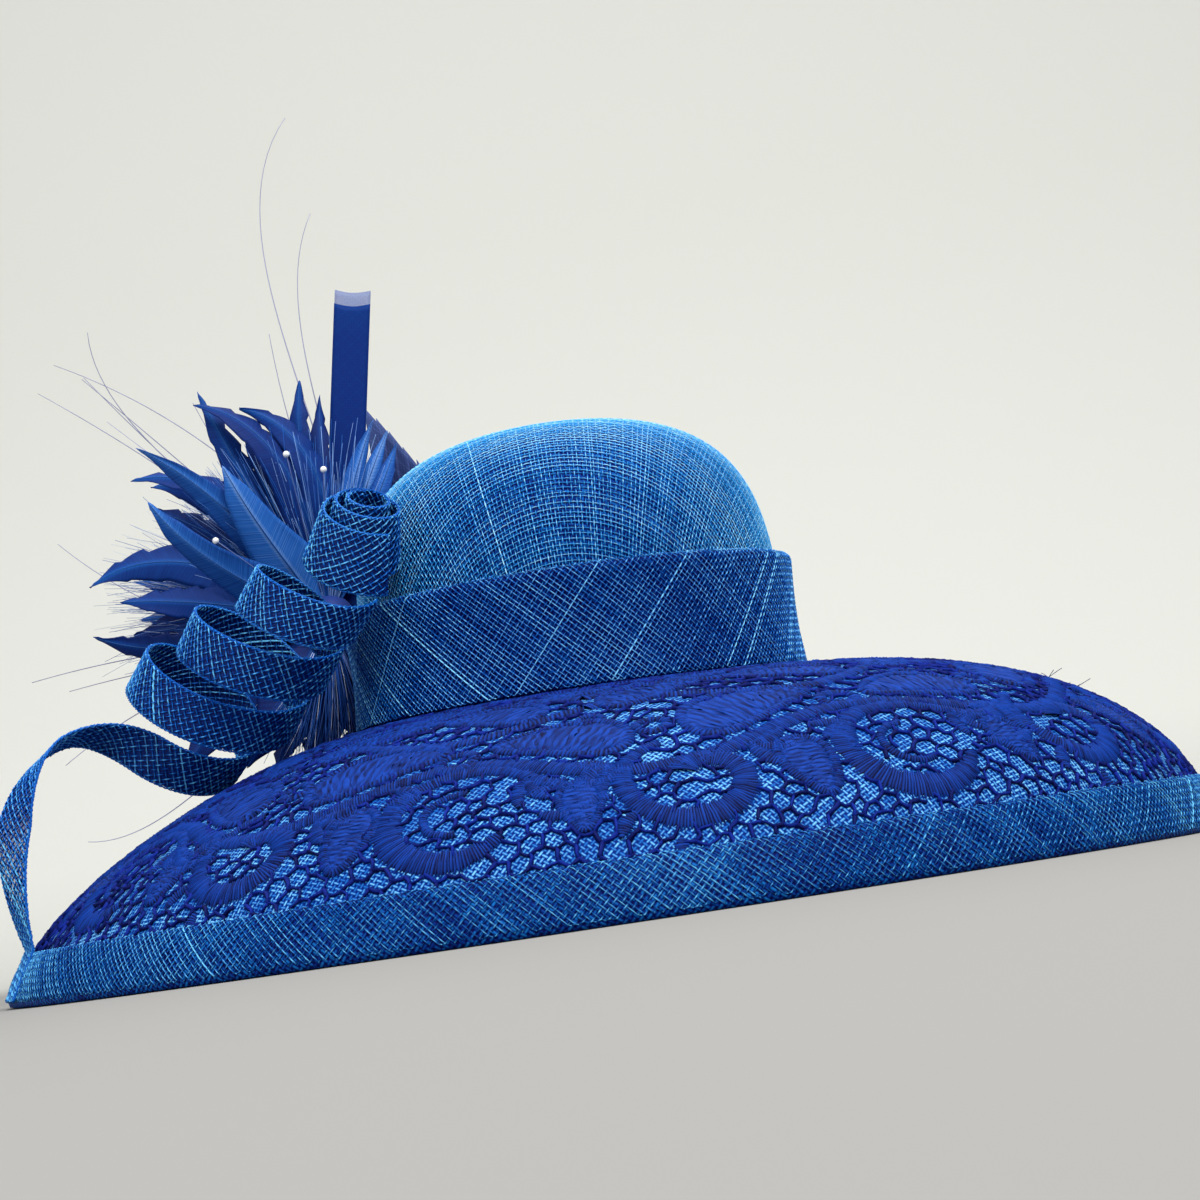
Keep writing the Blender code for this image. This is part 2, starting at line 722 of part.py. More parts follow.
def fuse(name, head, cutters, collection, finish):
    """Unites a head with everything in the cutters' collection, and leaves one closed mesh."""
    union = head.modifiers.new("fused", "BOOLEAN")
    union.operation = "UNION"
    union.solver = "EXACT"
    union.operand_type = "COLLECTION"
    union.collection = cutters
    union.use_self = True
    bpy.context.view_layer.update()
    mesh = bpy.data.meshes.new_from_object(head.evaluated_get(bpy.context.evaluated_depsgraph_get()))
    bpy.data.objects.remove(head, do_unlink=True)
    for lock in list(cutters.objects):
        bpy.data.objects.remove(lock, do_unlink=True)
    mesh.name = name
    mesh.materials.clear()
    mesh.materials.append(finish)
    made = bpy.data.objects.new(name, mesh)
    collection.objects.link(made)
    return made


def make_flower(collection, cutters, band):
    """Feather flower: petals and hackle locks fused to a head that sits against the band's upper edge."""
    finish = material("feather", (0.02, 0.12, 0.50), 0.6)
    head = ball("head", (0, 0, 0), FLOWER_HEAD_RADIUS, collection, 10, 6)
    depth = FLOWER_HEAD_RADIUS * PETAL_ROOT
    for row in PETALS:
        root = aim(row[0], row[1]) * depth
        blade("petal", root, row, PETAL_LENGTH - depth, PETAL_WIDTH, PETAL_OUTLINE, cutters)
    behind = (0, FLOWER_HEAD_RADIUS * LOCK_ROOT, 0)
    for row in LOCKS:
        blade("lock", behind, row, LOCK_LENGTH, LOCK_WIDTH, PETAL_OUTLINE[::2], cutters)
    flower = fuse("feather_flower", head, cutters, collection, finish)
    centre = np.array([-BAND_HALF_WIDTH, FLOWER_PLACE * BAND_HALF_DEPTH, BAND_TOP_Z + FLOWER_RISE])
    shift(flower, centre)
    seat = travel_to_seat(*evaluated_mesh(flower), [band], (1, 0, 0))
    shift(flower, seat)
    return flower, centre + seat


def make_stamen(index, row, centre, collection, cutters, finish):
    """A pearl on a wire that stands out of the flower's head to the front."""
    turn, lean, reach = row
    along = aim(turn, lean)
    root = centre + along * (FLOWER_HEAD_RADIUS + SEAT_GAP)
    tip = centre + along * STAMEN_LENGTH * reach
    wire("stem", [root, (root + tip) / 2, tip], [STAMEN_WIRE_RADIUS] * 3, cutters)
    pearl = ball("pearl", tip, PEARL_RADIUS, collection, 8, 6)
    return fuse(f"pearl_stamen_{index}", pearl, cutters, collection, finish)


def make_quills(collection, cutters, band):
    """Stripped quills fanning out of a head behind the flower."""
    head = ball("head", (0, 0, 0), QUILL_HEAD_RADIUS, collection, 8, 6)
    radii = [QUILL_BASE_RADIUS + (QUILL_TIP_RADIUS - QUILL_BASE_RADIUS) * s for s in QUILL_STATIONS]
    for number, (turn, lean, reach, sweep, hook) in enumerate(QUILLS):
        place, route = np.zeros(3), [np.zeros(3)]
        for before, share in zip(QUILL_STATIONS, QUILL_STATIONS[1:]):
            middle = (before + share) / 2
            along = aim(turn + sweep * middle + hook * middle**5, lean)
            place = place + along * (share - before) * QUILL_LENGTH * reach
            route.append(place)
        wire(f"quill_{number}", route, radii, cutters)
    quills = fuse("quill_spray", head, cutters, collection, material("quill", (0.30, 0.32, 0.48), 0.4))
    shift(quills, (-BAND_HALF_WIDTH, QUILL_PLACE * BAND_HALF_DEPTH, BAND_TOP_Z - QUILL_DROP))
    shift(quills, travel_to_seat(*evaluated_mesh(quills), [band], (1, 0, 0)))
    return quills


def make_strip(name, behind, height, carriers, collection, finish):
    """One layer of the upright ribbon, slid forward to what stands in front of it."""
    up = np.array([math.sin(STRIP_LEAN), 0, math.cos(STRIP_LEAN)])
    foot = np.array([-(BAND_HALF_WIDTH + STRIP_STANDOFF), behind, BAND_TOP_Z - STRIP_TUCK])
    work = bmesh.new()
    bmesh.ops.create_cube(work, size=1.0)
    mesh = bpy.data.meshes.new(name)
    for vertex in work.verts:
        local = vertex.co.copy()
        vertex.co = Vector(foot + up * (local.z + 0.5) * height) + Vector(
            (local.x * STRIP_WIDTH * up[2], local.y * STRIP_WALL, -local.x * STRIP_WIDTH * up[0])
        )
    work.to_mesh(mesh)
    work.free()
    mesh.materials.append(finish)
    strip = bpy.data.objects.new(name, mesh)
    collection.objects.link(strip)
    shift(strip, travel_to_seat(*evaluated_mesh(strip), carriers, (0, -1, 0)))
    return strip


def make_pleats(collection, band, finish):
    """Accordion-pleated ribbon that stands on edge round the band's back corner, lower towards the back."""
    foot = BAND_TOP_Z - PLEAT_TUCK
    low, high = [], []
    folds = 2 * len(PLEAT_TOPS) - 1
    for fold in range(folds):
        angle = PLEAT_FIRST_ANGLE + (PLEAT_LAST_ANGLE - PLEAT_FIRST_ANGLE) * fold / (folds - 1)
        off = PLEAT_WALL + SEAT_GAP + (PLEAT_DEPTH if fold % 2 == 0 else 0.0)
        share = np.interp(fold / 2, range(len(PLEAT_TOPS)), PLEAT_TOPS) - (PLEAT_VALLEY if fold % 2 else 0.0)
        x = (BAND_HALF_WIDTH + off) * math.cos(angle)
        y = (BAND_HALF_DEPTH + off) * math.sin(angle)
        low.append((x, y, foot))
        high.append((x, y, foot + PLEAT_HEIGHT * share))
    pleats = piece("pleated_ribbon", high + low, strip_faces(2, folds), collection, finish)
    thicken(pleats, PLEAT_WALL, 0)
    middle = (PLEAT_FIRST_ANGLE + PLEAT_LAST_ANGLE) / 2
    shift(pleats, travel_to_seat(*evaluated_mesh(pleats), [band], (-math.cos(middle), -math.sin(middle), 0)))
    return pleats


def main():
    pieces, cutters = start_collections()
    grid, normals = brim_grid()
    crown = evaluated_mesh(make_crown(pieces))
    make_brim(pieces, grid)
    lace = evaluated_mesh(make_lace(pieces, grid, normals))
    make_binding(pieces, grid, normals)
    band = evaluated_mesh(make_band(pieces))
    ribbon = material("ribbon_sinamay", (0.015, 0.15, 0.50), 0.55)
    make_rose(pieces, [band, crown], ribbon)
    make_curl(pieces, lace, band, grid, normals, ribbon)
    flower, centre = make_flower(pieces, cutters, band)
    pearl = material("pearl", (0.85, 0.85, 0.88), 0.2)
    for index, row in enumerate(STAMENS, 1):
        make_stamen(index, row, centre, pieces, cutters, pearl)
    sheer = material("sheer_ribbon", (0.01, 0.04, 0.22), 0.5)
    height = STRIP_HEIGHT * FRONT_STRIP_SHARE
    front = make_strip("upright_ribbon_front", centre[1], height, [evaluated_mesh(flower)], pieces, sheer)
    make_strip("upright_ribbon_back", centre[1], STRIP_HEIGHT, [evaluated_mesh(front)], pieces, sheer)
    make_quills(pieces, cutters, band)
    make_pleats(pieces, band, sheer)
    bpy.data.collections.remove(cutters)


main()
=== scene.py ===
"""Looks of a wide-brim dress hat: woven abaca cloth, corded lace, ribbon, trimmed feathers and quills.

Metres, +Z up. The hat faces -Y and its trimming is on -X. Every shape is a surface on a numpy grid.
"""

import math

import bpy
import numpy as np
from mathutils import Matrix, Vector, geometry


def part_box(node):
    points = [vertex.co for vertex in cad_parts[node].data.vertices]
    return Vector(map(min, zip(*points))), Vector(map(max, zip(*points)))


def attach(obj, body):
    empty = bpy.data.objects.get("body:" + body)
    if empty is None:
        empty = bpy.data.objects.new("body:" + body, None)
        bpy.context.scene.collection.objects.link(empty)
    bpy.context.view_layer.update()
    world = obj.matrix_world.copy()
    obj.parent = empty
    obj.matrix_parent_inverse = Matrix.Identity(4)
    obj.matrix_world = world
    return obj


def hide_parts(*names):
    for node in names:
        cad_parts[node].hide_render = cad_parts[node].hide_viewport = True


bl_info = {
    "name": "Wide-brim dress hat",
    "version": (1, 0, 0),
    "blender": (4, 5, 0),
    "location": "3D View > Sidebar > Hat",
    "description": "Builds the cloth, lace, ribbon and feather trimming of a wide-brim dress hat",
    "category": "Add Mesh",
}

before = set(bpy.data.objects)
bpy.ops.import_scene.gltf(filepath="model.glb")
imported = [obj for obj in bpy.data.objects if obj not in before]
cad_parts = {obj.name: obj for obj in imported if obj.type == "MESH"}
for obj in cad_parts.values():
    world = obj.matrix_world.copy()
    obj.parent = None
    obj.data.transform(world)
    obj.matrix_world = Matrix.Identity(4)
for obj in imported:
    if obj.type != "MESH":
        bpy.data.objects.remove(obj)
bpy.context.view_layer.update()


def box_of(node):
    """Lowest and highest corner of a CAD node as arrays."""
    low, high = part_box(node)
    return np.array(low), np.array(high)


# Sizes read from the CAD parts of model.glb
CROWN_LOW, CROWN_HIGH = box_of("crown")
BRIM_LOW, BRIM_HIGH = box_of("brim")
BAND_LOW, BAND_HIGH = box_of("crown_band")
BINDING_LOW, BINDING_HIGH = box_of("rim_binding")

# Walls and lifts of the cloth
GAP = 0.0003
BRIM_WALL = 0.0014
CROWN_WALL = 0.0015
BAND_WALL = 0.0010
BINDING_WALL = 0.0007
VANE_WALL = 0.0003
RIM_TOP = BRIM_LOW[2] + 0.0009
CREST = CROWN_LOW[2] - GAP
BINDING_WIDTH = 0.0200
BINDING_LIFT = 0.0021
LACE_LIFT = 0.0002

# Powers of the brim's section on the wearer's left and right, and of the crown's sides and top
ROUND_MIDDLE, ROUND_SWING = 1.765, 0.285
CROWN_SIDE_POWER, CROWN_TOP_POWER = 2.5, 4.5

TAU = 2 * math.pi


def unit(vectors):
    """Vectors of length one."""
    vectors = np.asarray(vectors, float)
    return vectors / np.maximum(np.linalg.norm(vectors, axis=-1, keepdims=True), 1e-12)


def grid_of(first, second, rows, columns):
    """Two grids of values, each evenly spaced over its span."""
    return np.meshgrid(np.linspace(*first, rows), np.linspace(*second, columns), indexing="ij")


def mixed(marks, places, table):
    """Rows of a table at marks between its places, straight between its entries."""
    return np.stack([np.interp(marks, places, column) for column in table.T], axis=-1)


def look_up(table, row, column):
    """Value of a table at fractional rows and columns, straight between its entries."""
    row = np.clip(row, 0, table.shape[0] - 1.00001)
    column = np.clip(column, 0, table.shape[1] - 1.00001)
    i, j = row.astype(int), column.astype(int)
    f, g = (row - i)[..., None], (column - j)[..., None]
    near = (1 - g) * table[i, j] + g * table[i, j + 1]
    far = (1 - g) * table[i + 1, j] + g * table[i + 1, j + 1]
    return (1 - f) * near + f * far


class Skin:
    """A surface made of sections round an axis: an angle and a run along the section give a place."""

    def __init__(self, sections, marks=220):
        """sections(angles) gives a row of points for each angle, spaced evenly again here by length."""
        self.angles = 361
        rows = sections(np.linspace(0, TAU, self.angles))
        self.lengths = np.empty(self.angles)
        self.table = np.empty((self.angles, marks, 3))
        for index, row in enumerate(rows):
            length = np.concatenate([[0], np.cumsum(np.linalg.norm(np.diff(row, axis=0), axis=1))])
            self.lengths[index] = length[-1]
            self.table[index] = mixed(np.linspace(0, length[-1], marks), length, row)
        along = np.gradient(self.table, axis=1)
        ring = self.table[:-1]
        around = np.roll(ring, -1, axis=0) - np.roll(ring, 1, axis=0)
        around = np.concatenate([around, around[:1]])
        normals = np.cross(along, around)
        size = np.linalg.norm(normals, axis=2, keepdims=True)
        normals[:, 0] = np.where(size[:, 1] > 0, normals[:, 1], normals[:, 0])
        self.normals = unit(normals)

    def length(self, angle):
        """Length of the section at an angle."""
        return np.interp(np.mod(angle, TAU), np.linspace(0, TAU, self.angles), self.lengths)

    def at(self, angle, run, lift=0.0):
        """Places and normals at angles and runs, lifted along the normal."""
        angle, run = np.broadcast_arrays(np.asarray(angle, float), np.asarray(run, float))
        row = np.mod(angle, TAU) / TAU * (self.angles - 1)
        column = run / self.length(angle) * (self.table.shape[1] - 1)
        place = look_up(self.table, row, column)
        normal = unit(look_up(self.normals, row, column))
        return place + normal * np.asarray(lift)[..., None], normal

    def ring(self, angle, run):
        """Distance of a place from the vertical axis."""
        place, _ = self.at(angle, run)
        return np.linalg.norm(place[..., :2], axis=-1)


def brim_sections(angles):
    """Superellipse from the crown's foot to the rim: share**p + height**p = 1, p swinging round the brim."""
    turn = np.linspace(0, math.pi / 2, 900)[None]
    power = (ROUND_MIDDLE + ROUND_SWING * np.cos(angles))[:, None]
    share = np.sin(turn) ** (2 / power)
    height = np.maximum(np.cos(turn), 0) ** (2 / power)
    inner_x, inner_y = CROWN_HIGH[0] + GAP, CROWN_HIGH[1] + GAP
    x = (inner_x + share * (BRIM_HIGH[0] - inner_x)) * np.cos(angles)[:, None]
    y = (inner_y + share * (BRIM_HIGH[1] - inner_y)) * np.sin(angles)[:, None]
    return np.stack([x, y, RIM_TOP + (CREST - RIM_TOP) * height], axis=2)


def crown_sections(angles):
    """Superellipse from the apex to the foot, its side and its top with powers of their own."""
    turn = np.linspace(math.pi / 2, 0, 900)[None]
    reach = np.maximum(np.cos(turn), 0) ** (2 / CROWN_SIDE_POWER)
    rise = np.sin(turn) ** (2 / CROWN_TOP_POWER)
    x = CROWN_HIGH[0] * reach * np.cos(angles)[:, None]
    y = CROWN_HIGH[1] * reach * np.sin(angles)[:, None]
    z = CROWN_LOW[2] + (CROWN_HIGH[2] - CROWN_LOW[2]) * rise + 0 * x
    return np.stack([x, y, z], axis=2)


def band_sections(angles):
    """The band's fold: up its inner face, over the round top edge, and down its outer face to the foot."""
    foot, top = BAND_LOW[2], BAND_HIGH[2]
    bulge = np.array([(0.92, -0.0060), (0.92, -0.0010), (1.20, -0.0001), (1.46, -0.0006), (1.55, -0.0022)])
    outer = np.array([(1.36, 0.75), (1.26, 0.55), (1.30, 0.32), (1.62, 0.0)])
    standoff = 0.0040
    points = [(standoff * a, top + z) for a, z in bulge]
    points += [(standoff * a, foot + (top - foot) * share) for a, share in outer]
    off, z = np.array(points).T
    fine = np.linspace(0, len(off) - 1, 120)
    off, z = np.interp(fine, range(len(off)), off), np.interp(fine, range(len(z)), z)
    x = (CROWN_HIGH[0] + off)[None] * np.cos(angles)[:, None]
    y = (CROWN_HIGH[1] + off)[None] * np.sin(angles)[:, None]
    return np.stack([x, y, z[None] + 0 * x], axis=2)


BRIM = Skin(brim_sections)
CROWN = Skin(crown_sections)
BAND = Skin(band_sections)


def binding_sections(angles):
    """The binding's fold: down over the brim's edge, under the rim, and up behind it."""
    full = BRIM.length(angles)[:, None]
    leg = np.linspace(-BINDING_WIDTH, 0, 24)[None]
    angle = angles[:, None] + 0 * leg
    tuck = np.interp(leg, [-BINDING_WIDTH, -BINDING_WIDTH + 0.0008], [0.0012, BINDING_LIFT])
    outer, _ = BRIM.at(angle, full + leg, tuck)
    inner, _ = BRIM.at(angle, full + leg[:, ::-1], -(BRIM_WALL + GAP + BINDING_WALL))
    rim, out = BRIM.at(angles, full[:, 0])
    foot = []
    for lift, height in ((0.0019, 0.0009), (0.0012, 0.0003), (-0.0008, 0.0003), (-0.0019, 0.0009)):
        place = rim + out * lift
        place[:, 2] = height
        foot.append(place)
    return np.concatenate([outer, np.stack(foot, axis=1), inner], axis=1)


BINDING = Skin(binding_sections)


class Shape:
    """Points, faces and the values of each point, gathered before they become one mesh."""

    def __init__(self):
        self.points, self.faces, self.tones, self.uvs, self.count = [], [], [], [], 0

    def add(self, points, faces, tone=0.5, uv=None):
        """Adds points, faces with the same number of corners each, a tone and a place on the cloth."""
        points = np.asarray(points, float).reshape(-1, 3)
        self.points.append(points)
        self.faces.append(np.asarray(faces, int) + self.count)
        self.tones.append(np.broadcast_to(np.asarray(tone, float).reshape(-1), (len(points),)))
        self.uvs.append(np.zeros((len(points), 2)) if uv is None else np.asarray(uv, float).reshape(-1, 2))
        self.count += len(points)

    def grid(self, places, tone=0.5, uv=None, flip=False):
        """Adds a sheet of quads from rows by columns of places."""
        rows, columns = places.shape[:2]
        index = np.arange(rows * columns).reshape(rows, columns)
        faces = np.stack([index[:-1, :-1], index[1:, :-1], index[1:, 1:], index[:-1, 1:]], axis=-1)
        faces = faces.reshape(-1, 4)[:, ::-1 if flip else 1]
        self.add(places, faces, np.broadcast_to(np.asarray(tone, float), (rows, columns)), uv)

    def mesh(self, name):
        """The mesh, with its tones and places on the cloth as an attribute and a UV map."""
        points = np.concatenate(self.points).astype(np.float32)
        loops = np.concatenate([f.reshape(-1) for f in self.faces]).astype(np.int32)
        sides = np.concatenate([np.full(len(f), f.shape[1]) for f in self.faces])
        mesh = bpy.data.meshes.new(name)
        mesh.vertices.add(len(points))
        mesh.vertices.foreach_set("co", points.reshape(-1))
        mesh.loops.add(len(loops))
        mesh.loops.foreach_set("vertex_index", loops)
        mesh.polygons.add(len(sides))
        mesh.polygons.foreach_set("loop_start", np.concatenate([[0], np.cumsum(sides)[:-1]]).astype(np.int32))
        mesh.update(calc_edges=True)
        tone = mesh.attributes.new("tone", "FLOAT", "POINT")
        tone.data.foreach_set("value", np.concatenate(self.tones).astype(np.float32))
        layer = mesh.uv_layers.new(name="cloth")
        layer.data.foreach_set("uv", np.concatenate(self.uvs)[loops].astype(np.float32).reshape(-1))
        mesh.polygons.foreach_set("use_smooth", np.ones(len(sides), bool))
        mesh.validate()
        return mesh


def put(shape, name, finish, node, wall=0.0, side=-1, seam=False):
    """Makes the object, gives it its finish and wall, hangs it under the root body and hides the CAD node it
    stands for.

    A seam is where a sheet meets itself all round, or at a pole: its doubled points are joined.
    """
    made = bpy.data.objects.new(name, shape.mesh(name))
    bpy.context.scene.collection.objects.link(made)
    made.data.materials.append(finish)
    if seam:
        made.modifiers.new("seam", "WELD").merge_threshold = 0.00001
    if wall:
        shell = made.modifiers.new("wall", "SOLIDIFY")
        shell.thickness = wall
        shell.offset = side
    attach(made, "root")
    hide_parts(node)


def ball(centre, radius, meridians, levels, tone=0.5):
    """A sphere: sin(turn) out from its axis and cos(turn) up it, from pole to pole."""
    angle, turn = grid_of((0, TAU), (0, math.pi), meridians, levels)
    places = np.stack([np.sin(turn) * np.cos(angle), np.sin(turn) * np.sin(angle), np.cos(turn)], axis=2)
    made = Shape()
    made.grid(centre + places * radius, tone=tone, flip=True)
    return made


def tubes(shape, paths, normals, radius, tone=0.5, sides=3, flat=1.0):
    """Closed tubes along many paths at once: (tube, station, xyz) places. A normal turns the section."""
    paths, normals = np.asarray(paths, float), unit(normals)
    tangents = unit(np.gradient(paths, axis=1))
    across = unit(np.cross(normals, tangents))
    upright = np.cross(tangents, across)
    turn = TAU * np.arange(sides) / sides + math.pi / 2
    radius = np.broadcast_to(np.asarray(radius, float), paths.shape[:2])[..., None, None]
    ring = paths[:, :, None] + radius * (
        across[:, :, None] * np.cos(turn)[:, None] * flat + upright[:, :, None] * np.sin(turn)[:, None]
    )
    count, stations = paths.shape[:2]
    index = np.arange(count * stations * sides).reshape(count, stations, sides)
    a, b = index[:, :-1], index[:, 1:]
    faces = np.stack([a, np.roll(a, -1, axis=2), np.roll(b, -1, axis=2), b], axis=-1).reshape(-1, 4)
    tone = np.broadcast_to(np.asarray(tone, float).reshape(-1, 1, 1), index.shape)
    shape.add(ring, faces, tone)
    ends = np.concatenate([index[:, 0, ::-1], index[:, -1]])
    shape.faces.append(ends + shape.count - index.size)


# The two sets of threads: axis, sign of the lift at even crossings, tone, and swing of the tone, which is a
# painted glint on the over-crossings and a painted shade on the under-crossings
THREAD_SETS = ((0, 1, 0.55, 0.16), (1, -1, 0.40, 0.36))
THREAD_SIDES, THREAD_FLAT = 3, 1.15


def weave(shape, surface, u_span, v_span, pitch, turn, radius, seed, lift=0.0, keep=None):
    """Plain weave: two sets of threads cross on a turned square grid, each over one and under the next.

    surface(u, v) gives places and normals in the cloth's own metres. Threads run along both sides of the grid,
    raised or lowered at each crossing by the sign of (-1)**(i+j), and stop where the cloth does. The tone of
    each crossing is raised where the thread lies over, a painted glint, and lowered where it lies under, a
    painted shade. The first set is paler, so it reads as unbroken lines, and the second, with a larger painted
    swing, shows as dashes between them.
    """
    rng = np.random.default_rng(seed)
    pitch = np.broadcast_to(pitch, 2)
    size = np.hypot(u_span[1] - u_span[0], v_span[1] - v_span[0]) / 2
    rows, columns = (np.arange(-count, count + 1) for count in np.ceil(size / pitch).astype(int) + 1)
    i, j = np.meshgrid(rows, columns, indexing="ij")
    wander = [rng.normal(0, 0.10, count) for count in i.shape]
    p = (i + wander[0][:, None]) * pitch[0]
    q = (j + wander[1][None]) * pitch[1]
    u = sum(u_span) / 2 + p * math.cos(turn) - q * math.sin(turn)
    v = sum(v_span) / 2 + p * math.sin(turn) + q * math.cos(turn)
    slack = 0.5 * pitch.max()
    inside = (u > u_span[0] - slack) & (u < u_span[1] + slack)
    inside &= (v > v_span[0] - slack) & (v < v_span[1] + slack)
    if keep is not None:
        inside &= keep(u, v)
    rows, columns = np.where(inside.any(axis=1))[0], np.where(inside.any(axis=0))[0]
    cut = (slice(rows[0], rows[-1] + 1), slice(columns[0], columns[-1] + 1))
    inside, i, j = inside[cut], i[cut], j[cut]
    place, normal = surface(np.clip(u[cut], *u_span), np.clip(v[cut], *v_span))
    over = 1 - 2 * ((i + j) % 2)
    for axis, sign, pale, swing in THREAD_SETS:
        slub = rng.random(i.shape[1 - axis])
        thick = radius * (1 + 0.16 * rng.normal(0, 1, len(slub)).clip(-1.2, 1.5) + 0.35 * (slub > 0.985))
        shade = pale + (0.09 * rng.normal(0, 1, len(slub))).clip(-0.2, 0.2) + 0.4 * (slub > 0.985)
        thick, shade = (np.broadcast_to(np.expand_dims(one, axis), i.shape) for one in (thick, shade))
        high = lift + radius * (1 + 0.75 * sign * over)
        centre = place + normal * high[..., None]
        across = unit(np.cross(normal, unit(np.gradient(centre, axis=axis))))
        angles = (TAU * np.arange(THREAD_SIDES) / THREAD_SIDES + math.pi / 2)[:, None]
        ring = centre[:, :, None] + thick[..., None, None] * (
            across[:, :, None] * np.cos(angles) * THREAD_FLAT + normal[:, :, None] * np.sin(angles)
        )
        index = np.arange(ring[..., 0].size).reshape(ring.shape[:3])
        if axis == 0:
            whole, a, b = inside[:-1] & inside[1:], index[:-1], index[1:]
        else:
            whole, a, b = inside[:, :-1] & inside[:, 1:], index[:, :-1], index[:, 1:]
        faces = np.stack([a, np.roll(a, -1, axis=2), np.roll(b, -1, axis=2), b], axis=-1)
        faces = faces[whole].reshape(-1, 4)
        runs = np.pad(whole, [(1, 1), (0, 0)] if axis == 0 else [(0, 0), (1, 1)])
        before, after = (runs[:-1], runs[1:]) if axis == 0 else (runs[:, :-1], runs[:, 1:])
        ends = np.concatenate([index[after & ~before][:, ::-1], index[before & ~after]])
        used, faces = np.unique(faces, return_inverse=True)
        speck = rng.normal(0, 0.05, shade.shape)
        # Painted light: the swing raises the tone where a thread lies over, a painted glint, and lowers it
        # where it lies under, a painted shade.
        tone_with_painted_light = np.repeat((shade + speck + swing * sign * over).reshape(-1), THREAD_SIDES)[used]
        shape.add(ring.reshape(-1, 3)[used], faces.reshape(-1, 4), tone_with_painted_light)
        shape.faces.append(np.searchsorted(used, ends) + shape.count - len(used))


class Value:
    """A number in a shader: the operators on it add Math nodes."""

    def __init__(self, shader, socket):
        self.shader, self.socket = shader, socket

    def math(self, operation, *others, clamp=False):
        """A Math node on this value and others."""
        inputs = {index: other for index, other in enumerate((self, *others))}
        return self.shader.value("ShaderNodeMath", {"operation": operation, "use_clamp": clamp}, inputs)

    def __add__(self, other):
        return self.math("ADD", other)

    __radd__ = __add__

    def __sub__(self, other):
        return self.math("SUBTRACT", other)

    def __rsub__(self, other):
        return self.shader.number(other).math("SUBTRACT", self)

    def __mul__(self, other):
        return self.math("MULTIPLY", other)

    __rmul__ = __mul__

    def __truediv__(self, other):
        return self.math("DIVIDE", other)

    def __pow__(self, other):
        return self.math("POWER", other)

    def __mod__(self, other):
        return self.math("FLOORED_MODULO", other)

    def above(self, other):
        """One where this is greater."""
        return self.math("GREATER_THAN", other)

    def larger(self, other):
        """The larger of two values."""
        return self.math("MAXIMUM", other)

    def clamped(self):
        """This value kept from nought to one."""
        return self.math("ADD", 0.0, clamp=True)


